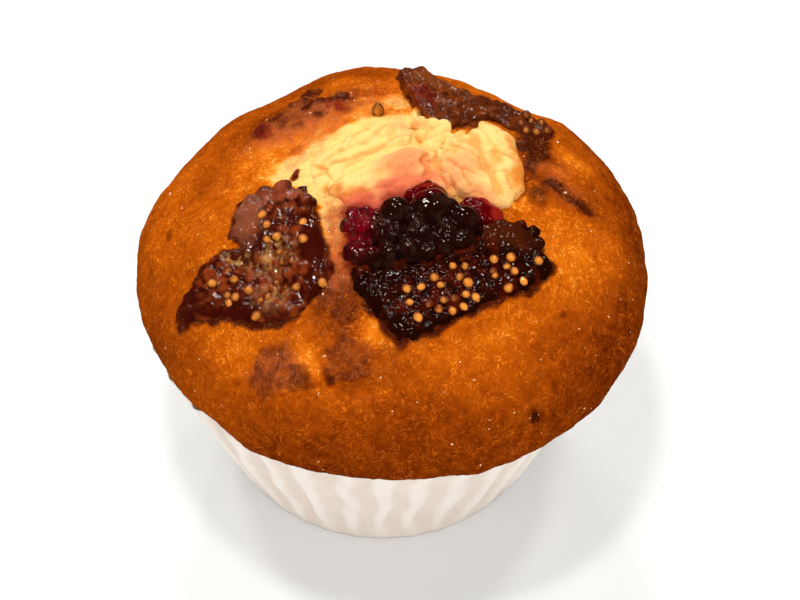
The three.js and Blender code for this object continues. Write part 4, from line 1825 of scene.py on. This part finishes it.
def pleat_tree() -> Tree:
    """The geometry tree that wraps a sheet into a pleated case: a flat base and a leaning, pleated wall.

    Returns:
        The tree.
    """
    inputs = {
        "Geometry": "Geometry", "Base Radius": 26 * MM, "Top Radius": 37 * MM, "Height": 32 * MM,
        "Pleats": 36, "Pleat Depth": 0.5 * MM, "Pleat Drift": 2.0, "Crumple": 0.4 * MM, "Around": 577,
        "Rows": 61, "Base Share": 0.1, "Seed": 0, "Material": "Material",
    }
    tree, wires, given = new_group("pleated_case", "Geometry", inputs, ("Geometry", "Geometry"))
    sheet = wires.place(
        "GeometryNodeMeshGrid",
        {"Size X": 1.0, "Size Y": 1.0, "Vertices X": given["Around"], "Vertices Y": given["Rows"]},
    )
    flat = wires.parts(wires.place("GeometryNodeInputPosition").outputs[0])
    angle = wires.times(wires.total(flat["X"], 0.5), math.tau)
    along = wires.total(flat["Y"], 0.5)
    base = wires.math("MINIMUM", wires.math("DIVIDE", along, given["Base Share"]), 1.0)
    past_base = wires.math("MAXIMUM", wires.minus(along, given["Base Share"]), 0.0)
    wall = wires.math("DIVIDE", past_base, wires.rest(given["Base Share"]))
    growth = wires.minus(given["Top Radius"], given["Base Radius"])
    radius = wires.total(wires.times(base, given["Base Radius"]), wires.times(wall, growth))
    height = wires.times(wall, given["Height"])
    cosine, sine = wires.math("COSINE", angle), wires.math("SINE", angle)
    around = wires.joined(cosine, sine, wall)

    def drift(scale: float, shift: float, squeeze: float) -> Socket:
        """A slow wave around the case.

        Args:
            scale: How many waves there are.
            shift: Which wave it is.
            squeeze: Below 1, it is drawn out up the wall.

        Returns:
            The wave's height, about -0.5 to 0.5.
        """
        place = wires.vector("MULTIPLY", around, (1.0, 1.0, squeeze))
        shifted = wires.total(given["Seed"], shift)
        moved = wires.vector("ADD", place, wires.joined(shifted, shifted))
        noise = wires.place("ShaderNodeTexNoise", {"Vector": moved, "Scale": scale, "Detail": 1.0})
        return wires.minus(noise.outputs[0], 0.5)

    lean = wires.times(drift(3.0, 0.0, 0.8), given["Pleat Drift"])
    wander = wires.times(drift(9.0, 5.0, 0.5), given["Pleat Drift"])
    phase = wires.total(wires.times(angle, given["Pleats"]), wires.times(lean, 4.0), wander)
    wave = wires.math("COSINE", phase)
    double = wires.times(wires.math("COSINE", wires.times(phase, 2.0)), 0.22)
    full = wires.total(wires.times(drift(7.0, 11.0, 0.7), 1.5), 0.85)
    rise = wires.eased(wires.total(wires.minus(base, 1.0), wall), -0.08, 0.3)
    depth = wires.times(wires.times(given["Pleat Depth"], full), rise)
    fold = wires.total(wave, double)
    pleated = wires.times(fold, depth)
    crumple = wires.times(wires.times(drift(16.0, 3.0, 2.4), given["Crumple"]), rise)
    reach = wires.total(radius, pleated, crumple)
    placed = wires.joined(wires.times(cosine, reach), wires.times(sine, reach), height)
    # The fold is kept on the sheet for the paper's painted shade in its valleys.
    feeds = {"Geometry": sheet.outputs["Mesh"], "Name": Mark.RELIEF.value, "Value": wires.times(fold, rise)}
    noted = wires.place("GeometryNodeStoreNamedAttribute", feeds, data_type="FLOAT", domain="POINT")
    wrapped = wires.place("GeometryNodeSetPosition", {"Geometry": noted.outputs[0], "Position": placed})
    feeds = {"Geometry": wrapped.outputs[0], "Distance": 0.003 * MM}
    dressed_end(wires, wires.place("GeometryNodeMergeByDistance", feeds).outputs[0], given["Material"])
    return tree


@dataclass
class PaperCase:
    """The case: one thin pleated sheet, tucked in under the cake's lip."""

    node: str = "paper_case"
    base_radius: float = 26.0
    pleats: int = 36
    pleat_depth: float = 0.5
    pleat_drift: float = 1.6
    crumple: float = 0.5
    wall: float = 0.14
    tuck: float = 1.3
    around: int = 577
    rows: int = 61
    seed: int = 0

    def build(self, material: Material) -> Piece:
        """Makes the case.

        Args:
            material: The paper's finish.

        Returns:
            The piece.
        """
        low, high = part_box(self.node)
        edge = (high.x - low.x) / 2 * PER_METRE - self.pleat_depth
        rise = (high.z - low.z) * PER_METRE
        values = {
            "Base Radius": self.base_radius * MM, "Top Radius": edge * MM,
            "Height": (rise + self.tuck) * MM, "Pleats": self.pleats, "Pleat Depth": self.pleat_depth * MM,
            "Pleat Drift": self.pleat_drift, "Crumple": self.crumple * MM, "Around": self.around,
            "Rows": self.rows, "Seed": self.seed, "Material": material,
        }
        start = bpy.data.meshes.new("paper_sheet")
        mesh = grown("paper_case_sheet", start, pleat_tree(), values, self.wall)
        return shown("paper_case_sheet", mesh, material, (self.node,))


# -------------------- the studio


@dataclass(frozen=True)
class Lamp:
    """A round lamp: its place, width and power, and whether wet surfaces mirror it."""

    name: str
    place: tuple[float, float, float]
    width: float
    power: float
    mirrored: bool = True


@dataclass
class Studio:
    """The floor, the lights and the camera."""

    target: tuple[float, float, float] = (0.0, 0.0, 32.0)
    distance: float = 340.0
    elevation: float = 49.06
    lens: float = 96.7
    shift: tuple[float, float] = (0.0211, -0.0168)
    floor_size: float = 6000.0
    floor_colour: Colour = srgb(238, 247, 255)
    sky_colour: Colour = (1.0, 0.935, 0.87, 1.0)
    lamp_colour: tuple[float, float, float] = (1.0, 0.92, 0.83)
    sky_strength: float = 0.62
    sky_mirrored: float = 0.03
    lamps: tuple[Lamp, ...] = (
        Lamp("top_lamp", (-60.0, -30.0, 640.0), 80.0, 1.0),
        Lamp("left_lamp", (-260.0, 150.0, 560.0), 70.0, 0.6),
        Lamp("right_lamp", (240.0, 120.0, 580.0), 70.0, 0.6),
        Lamp("back_lamp", (20.0, 420.0, 480.0), 60.0, 0.3),
        Lamp("low_back_lamp", (-60.0, 560.0, 330.0), 56.0, 0.45),
        Lamp("front_fill", (60.0, -620.0, 260.0), 320.0, 1.2, False),
    )

    def build(self) -> None:
        """Sets up the floor, the lights and the camera."""
        self._floor()
        self._lights()
        self._camera()
        bpy.context.scene.view_settings.view_transform = "Standard"

    def _floor(self) -> None:
        """A plain pale floor."""
        half = self.floor_size / 2 * MM
        mesh = bpy.data.meshes.new("floor")
        corners = [(-half, -half, 0), (half, -half, 0), (half, half, 0), (-half, half, 0)]
        mesh.from_pydata(corners, [], [(0, 1, 2, 3)])
        material = bpy.data.materials.new("floor")
        material.use_nodes = True
        shader = material.node_tree.nodes["Principled BSDF"]
        shader.inputs["Base Color"].default_value = self.floor_colour
        shader.inputs["Roughness"].default_value = 0.9
        shader.inputs["Specular IOR Level"].default_value = 0.0
        mesh.materials.append(material)
        floor = bpy.data.objects.new("floor", mesh)
        floor.visible_glossy = False
        bpy.context.scene.collection.objects.link(floor)

    def _lights(self) -> None:
        """An even pale sky, one wide soft lamp and small lamps that glint on what is wet."""
        world = bpy.data.worlds.new("sky")
        world.use_nodes = True
        wires = Wiring(world.node_tree)
        mirrored = wires.place("ShaderNodeLightPath").outputs["Is Glossy Ray"]
        dimming = wires.times(mirrored, self.sky_strength - self.sky_mirrored)
        sky = world.node_tree.nodes["Background"]
        sky.inputs["Color"].default_value = self.sky_colour
        wires.feed(sky.inputs["Strength"], wires.minus(self.sky_strength, dimming))
        bpy.context.scene.world = world
        for lamp in self.lamps:
            data = bpy.data.lights.new(lamp.name, "AREA")
            data.shape = "DISK"
            data.size = lamp.width * MM
            data.color = self.lamp_colour
            data.energy = lamp.power
            light = bpy.data.objects.new(lamp.name, data)
            light.location = Vector(lamp.place) * MM
            light.visible_glossy = lamp.mirrored
            aim = Vector(self.target) * MM - light.location
            light.rotation_euler = aim.to_track_quat("-Z", "Y").to_euler()
            bpy.context.scene.collection.objects.link(light)

    def _camera(self) -> None:
        """Looks down on the muffin's front."""
        data = bpy.data.cameras.new("camera")
        data.lens = self.lens
        data.sensor_width = 36.0
        data.shift_x, data.shift_y = self.shift
        data.clip_start, data.clip_end = 0.01, 20.0
        tilt = math.radians(self.elevation)
        back = Vector((0.0, -math.cos(tilt), math.sin(tilt)))
        camera = bpy.data.objects.new("camera", data)
        camera.location = (Vector(self.target) + back * self.distance) * MM
        camera.rotation_euler = (-back).to_track_quat("-Z", "Y").to_euler()
        bpy.context.scene.collection.objects.link(camera)
        bpy.context.scene.camera = camera


# -------------------- the muffin


def seeds(places: Iterable[Plan], draw: np.random.Generator, sunk: float, tone: float) -> tuple[Grain, ...]:
    """Fig seeds at plan places, each a little different.

    Args:
        places: Where they lie.
        draw: Where their differences come from.
        sunk: How deep they are sunk, as a share of their width.
        tone: How pale they are.

    Returns:
        The seeds.
    """
    made = []
    for x, y in places:
        girth = draw.uniform(0.82, 1.14)
        depth = sunk + draw.uniform(-0.16, 0.16)
        made.append(Grain(x, y, girth, depth, tone + draw.uniform(-0.3, 0.1)))
    return tuple(made)


def figs() -> tuple[Fig, Fig, Fig]:
    """The three pieces of fig.

    Returns:
        The left, front and back piece.
    """
    left = Fig(
        "fig_left", seed=21, sink=0.5,
        lobes=lobes_at(
            (-17.8, -0.9, 1.6, 1.3), (-15.2, -0.7, 2.4, 1.5), (-12.4, -0.8, 2.6, 1.8),
            (-13.6, -3.4, 1.6, 1.3), (-11.6, -4, 1.6, 1.5), (-19.6, -2.2, 1, 1.2), (-21.2, -4.4, 1, 1.2),
            (-22, -6.8, 0.6, 1.1), (-15.4, -14.2, 1.6, 1), (-14.2, -16.2, 1.6, 1.1), (-12.4, -15.6, 1.6, 1),
            (-15.8, -18.4, 1.6, 1.1), (-17.6, -16.4, 1.4, 0.9), (-13.8, -19.4, 1.4, 1.2),
        ),
        patches=(
            *areas(Mark.RELIEF, (-10.8, -11, 2.6, 9, -8, 1, 0.4)),
            *areas(
                Mark.PULP,
                (-22.5, -16, 5.4, 3.2, -10, 0.3, 0.5), (-15.4, -17.4, 3.6, 4.2, 0, 0.8, 0.5),
                (-14.6, -10.4, 2, 4, -10, 0.6, 0.5), (-14.8, -3.6, 3.6, 2.8, 0, 0.8, 0.6),
                (-24.4, -14.8, 3.6, 2.4, -20, 0.8, 0.5),
            ),
            *areas(
                Mark.MUSH,
                (-16, -13.2, 2.4, 2.6, -20, 0.7, 0.7), (-20.4, -12.6, 3.2, 1, -25, 0.8, 0.6),
                (-16, -19.6, 2.2, 1.8, 0, 0.6, 0.7),
            ),
            *areas(
                Mark.SKIN,
                (-20.4, -5, 2.2, 4.4, 0, 0.6, 0.6), (-15.2, -2, 3.6, 1.6, 0, 0.25, 0.7),
            ),
        ),
        stain_reach=0.6,
        creases=creases_along(
            (0.9, -0.6, (-22.4, -11.8), (-19.8, -13), (-17.6, -15), (-15.2, -17.6)),
            (0.8, -0.5, (-13.6, -2.8), (-13.4, -7.4), (-12.8, -12), (-12.2, -16)),
        ),
    )
    front = Fig(
        "fig_front", seed=33,
        lobes=lobes_at(
            (20.4, -6.8, 0, 1.1), (22.2, -7.6, -0.4, 1), (23, -9.6, -0.4, 1), (24.2, -12, -0.4, 0.9),
        ),
        patches=(
            *areas(Mark.RELIEF, (17.6, -9.4, 4.6, 2.4, -10, 0.4, 0.6)),
            *areas(Mark.PULP, (9.5, -19, 9, 3.2, 24, 0.6, 0.6)),
            *areas(Mark.SKIN, (17.6, -9.4, 4.4, 2.2, -10, 0.7, 0.7)),
        ),
    )
    back = Fig(
        "fig_back", seed=45, lump=0.3, swelling=0.8,
        lobes=lobes_at(
            (8.9, 20.4, 0.4, 1.6), (11.4, 18.6, 0.4, 1.7), (12.5, 22.6, 0, 1.5), (14.8, 19.4, 0, 1.4),
            (17.3, 18, 0.2, 1.3), (6.6, 22.2, 0, 1.4),
        ),
        patches=(
            *areas(Mark.WINE, (6.4, 20, 1.8, 3.2, 20, 0.5, 0.6)),
            *areas(Mark.SKIN, (9, 25, 6, 2, -25, 0.6, 0.7)),
            *areas(Mark.PULP, (9, 21, 6, 4, -25, 0.6, 0.6), (11.6, 20.4, 2, 1.6, -25, 1, 0.5)),
        ),
        creases=creases_along(
            (0.8, 0.5, (6, 27.4), (12, 23.6), (19, 20.2), (25, 16.4)),
            (0.7, -0.5, (7, 20), (11, 20.6), (14, 18)), (0.6, -0.5, (13, 22.2), (12.6, 18.6), (13.4, 15)),
        ),
    )
    return left, front, back


def cream_lumps() -> tuple[CreamLump, CreamLump, CreamLump]:
    """The three lumps of cream cheese.

    Returns:
        The left, middle and right lump.
    """
    left = CreamLump(
        "cream_left", seed=51, level=56.0,
        lobes=lobes_at(
            (5.6, 14.2, 0, 1.3), (7.5, 13.5, 0, 1.4), (9.4, 12.9, 0.6, 1.2), (6.2, 11.6, 0, 1.4),
            (8.4, 11, 0.6, 1.5), (10, 10.6, 0, 1.1), (7.4, 8.8, 0, 1.5),
        ),
        stain=Mark.BAKE,
        stain_reach=2.6,
        creases=creases_along(
            (0.6, -0.3, (-9.4, 4), (-6, 7.6), (-3, 8.8), (0.4, 13)),
            (0.5, -0.3, (-10.4, 1.6), (-6.8, 4.2), (-1.6, 6.4), (3.8, 11)),
            (0.4, -0.24, (-7.8, 9.6), (-5.4, 11.4), (-2.6, 12)), (0.4, -0.2, (-6, 7.6), (-6.6, 10)),
            (0.35, -0.4, (-8.8, -1), (-8, 1.2), (-8.8, 3.4), (-11, 4.4)),
        ),
        patches=(
            *areas(
                Mark.ROSE,
                (-10.6, 7.6, 1.6, 4.4, -38, 0.4, 0.8), (-5, 12.8, 4.5, 1.6, 38, 0.4, 0.8),
                (2.6, 13.8, 2.6, 1.6, 0, 0.35, 0.8),
            ),
            *areas(Mark.BAKE, (-7.6, -0.8, 1.4, 1, 0, 1, 0.5)),
        ),
    )
    middle = CreamLump(
        "cream_middle", seed=57, level=56.2,
        lobes=lobes_at(
            (-7.2, -1, 0.6, 1.1), (8.5, 6.6, 0, 1.5), (9, 4.2, 0.6, 1.6), (9.5, 1.6, 0.6, 1.7),
            (10.4, -0.8, 0, 1.3),
        ),
        stain=Mark.BAKE,
        stain_reach=2.6,
        creases=creases_along(
            (0.32, -0.6, (7, 6.6), (6, 4.4), (6.8, 2.2), (6.2, 0.4), (7.4, -1.6)),
            (0.28, -0.5, (6.6, 2.4), (8.6, 1.4), (10, -0.8)), (0.25, -0.45, (6, 4.4), (7.6, 5)),
            (0.28, -0.45, (8, 8.4), (8.2, 5.6), (10.6, 4.8)),
            (0.9, 0.5, (-6.4, -0.4), (-2.4, 2), (1.6, 4.8), (5.6, 6.6)),
            (0.4, -0.2, (-3.4, -2.8), (0.6, -1.4), (4.2, 1)),
        ),
        patches=(
            *areas(
                Mark.ROSE,
                (3.4, -1.6, 6.6, 3.2, 24, 0.95, 0.6), (3.6, 3, 4.4, 3.4, 24, 0.65, 0.8),
                (8.6, 0.2, 2.6, 4.2, 0, 0.6, 0.8), (-3, -4, 5.4, 1.6, -4, 1, 0.6),
            ),
            *areas(Mark.BAKE, (-4.8, -2.8, 4, 1.2, -4, 1, 0.5), (-7.4, -1, 1.5, 1.3, 0, 1, 0.4)),
            *areas(Mark.WINE, (5.4, -3.6, 6.4, 1.4, 0, 0.9, 0.7), (-3.6, -5, 2.2, 1.2, 0, 0.7, 0.7)),
        ),
    )
    right = CreamLump(
        "cream_right", seed=63, sink=1.3, lump=0.45,
        creases=creases_along(
            (0.6, -0.5, (12.4, 13), (14, 9.4), (15, 5.2), (17.4, -1.4)),
            (0.5, -0.35, (14, 13.6), (16.2, 9.6), (17.6, 6), (19.4, 0)),
            (0.35, -0.35, (10, 8.6), (12.6, 6.6), (14.6, 5.4)),
            (0.3, -0.3, (15.4, 6.4), (18, 6.8), (20.4, 5.4)),
            (0.3, -0.3, (16.8, 2.6), (18.8, 2.8), (20.6, 1.6)),
            (0.35, -0.4, (9.4, 4.6), (12, 2.6), (13, -0.6)), (0.3, -0.3, (12, 2.6), (14.4, 1.6)),
        ),
        patches=(
            *areas(Mark.BAKE, (17.4, 14.4, 3.4, 1.8, -25, 0.8, 0.6), (20.8, 5, 1.5, 9, 6, 1, 0.5)),
            *areas(Mark.ROSE, (11.6, 2.6, 3, 4.4, -14, 0.5, 0.8), (13.6, -1.8, 4.4, 1.8, -20, 0.55, 0.8)),
        ),
    )
    return left, middle, right


def dark_and_red_fruit() -> tuple[Berry, RedFruit, RedFruit]:
    """The berry and the red fruit.

    Returns:
        The berry, the slice beside it and the piece behind it.
    """
    berry = Berry(
        "dark_berry", seed=71, cell=0.17, smoothing=9, sink=0.3, stain=Mark.WINE, stain_reach=1.6,
        small_lobes=22, level=55.2,
        lobes=lobes_at(
            (1.9, -7.2, 0.2, 2.5), (3.4, -6.6, -0.2, 1.7), (7.2, -6.4, 0.3, 3), (9.6, -6.2, -0.4, 2),
            (11.9, -8.1, 0.1, 2.5), (-4, -13, -1, 1.8), (-4.2, -5.2, 0, 1.4), (-2.4, -5, 0.6, 1.6),
            (-0.6, -4.8, 0.6, 1.5), (-3.2, -7, 1, 1.7), (-1, -6.6, 1, 1.6), (-5.2, -7.4, 0, 1.4),
            (-1.8, -15, 4.6, 1.4), (0.8, -14.8, 5, 1.5), (3.6, -14.4, 5, 1.5), (6.4, -13.9, 5, 1.5),
            (9, -13.1, 5, 1.5), (11.6, -12.1, 4.6, 1.5),
        ),
    )
    slice_ = RedFruit(
        "red_fruit_slice", stain_reach=0.8, seed=81, sink=0.9,
        patches=areas(Mark.ROSE, (15.6, -3.4, 2.4, 1.1, -22, 0.9, 0.5), (17, -5.6, 1, 1.6, 0, 0.7)),
    )
    behind = RedFruit(
        "red_fruit_back", stain_reach=1.4, seed=83, sink=0.4,
        patches=areas(Mark.ROSE, (7, -1, 1.6, 0.8, 0, 0.5)),
    )
    return berry, slice_, behind


def fig_seeds() -> tuple[Grain, ...]:
    """Every seed of the three pieces of fig, in the order in which their differences are drawn.

    Returns:
        The seeds.
    """
    draw = np.random.default_rng(5)
    left_seeds = (
        (-18, -5.5), (-17.2, -7.8), (-17.1, -10.1), (-15.6, -10), (-11.8, -8.1), (-11.8, -11.2),
        (-25.2, -15.3), (-22.8, -17.8), (-22.5, -18.8), (-21.4, -18.4), (-19.6, -18.1), (-21.9, -15.7),
        (-18.4, -22), (-8.8, -18.1),
    )
    faint_seeds = (
        (-15.3, -12.3), (-13.3, -14.4), (-11.9, -17.4), (-12.6, -18.5), (-14.1, -17.9), (-15.6, -16.8),
        (-15.2, -18.4), (-17.9, -19.8), (-16.7, -19.3), (-14.9, -14.3), (-22.8, -13.5),
    )
    front_seeds = (
        (16.2, -14), (18.7, -13.6), (22.8, -13.3), (18.1, -15.1), (19.1, -16.2), (20.4, -17), (16.3, -16.9),
        (18.2, -18.8), (10.1, -16), (11.9, -15.7), (11.1, -17.7), (7.4, -18.1), (8.3, -19.5), (5.5, -19.8),
        (3.4, -20), (12.3, -18.8), (12, -20.4), (13.4, -20.8), (8.7, -21.9), (3.8, -22.2), (11.6, -22.3),
        (9.9, -23.2), (5, -24.3),
    )
    dull_seeds = ((10.3, -21.4), (8.0, -22.9), (16.0, -16.0), (6.6, -22.3))
    back_seeds = (
        (21.5, 15.5), (22.4, 18), (23.2, 17.4), (24.7, 16.8), (22.2, 14.2), (23.8, 14.6), (25.6, 15.4),
    )
    return (
        *seeds(left_seeds, draw, 0.56, 0.95),
        *seeds(faint_seeds, draw, 0.74, 0.4),
        *seeds(front_seeds, draw, 0.56, 1.0),
        *seeds(dull_seeds, draw, 0.7, 0.45),
        *seeds(back_seeds, draw, 0.6, 0.4),
    )


def main() -> None:
    """Builds the muffin, piece by piece."""
    logging.basicConfig(level=logging.INFO, format="%(name)s %(message)s")
    Studio().build()
    kit = ShaderKit()
    fig_finish = FigFinish(
        "fig_flesh", srgb(58, 10, 3), srgb(140, 58, 22), srgb(206, 152, 84), srgb(160, 90, 60)
    )
    dark_fig_finish = FigFinish(
        "dark_fig_flesh", srgb(28, 5, 2), srgb(80, 18, 4), srgb(120, 80, 40), srgb(74, 28, 10), 0.15, 0.42
    )
    brown_fig_finish = FigFinish(
        "brown_fig_flesh", srgb(78, 30, 8), srgb(136, 62, 12), srgb(150, 96, 54), srgb(120, 62, 26), 0.2, 0.7
    )
    seed_finish = SeedFinish("fig_seed_shell", srgb(240, 154, 60), srgb(104, 40, 10)).material(kit)
    cream_finish = CreamFinish().material(kit)

    left, front, back = figs()
    creams = cream_lumps()
    berry, slice_, behind = dark_and_red_fruit()
    toppings = (left, front, back, *creams, berry, slice_, behind)
    cake = Cake()
    cake.build(CrustFinish().material(kit), toppings)
    PaperCase().build(PaperFinish().material(kit))
    left.build(fig_finish.material(kit), Slot.FIG)
    front.build(dark_fig_finish.material(kit), Slot.FIG)
    back.build(brown_fig_finish.material(kit), Slot.FIG)
    for cream in creams:
        cream.build(cream_finish, Slot.CREAM)
    berry.build(BerryFinish().material(kit), Slot.BERRY)
    red_finish = RedFruitFinish().material(kit)
    for red in (slice_, behind):
        red.build(red_finish, Slot.RED_FRUIT)

    tree = grain_tree()
    surface = Probe([topping.mesh for topping in toppings] + [cake.mesh])
    Grains("fig_seeds", 1.65, 1.4, 0.3, fig_seeds(), seed=3).build(tree, surface, seed_finish, Slot.FIG)
    brown_finish = SeedFinish("brown_seed_shell", srgb(196, 112, 30), srgb(44, 16, 4), 0.5, 1.3).material(kit)
    Grains("brown_seed", 2.7, 1.9, 0.5, (Grain(-0.8, 17.0, 1.0, 0.15, 1.0),), lean=-0.9, tumble=0.0).build(
        tree, surface, brown_finish, Slot.FIG
    )


if __name__ == "__main__":
    main()
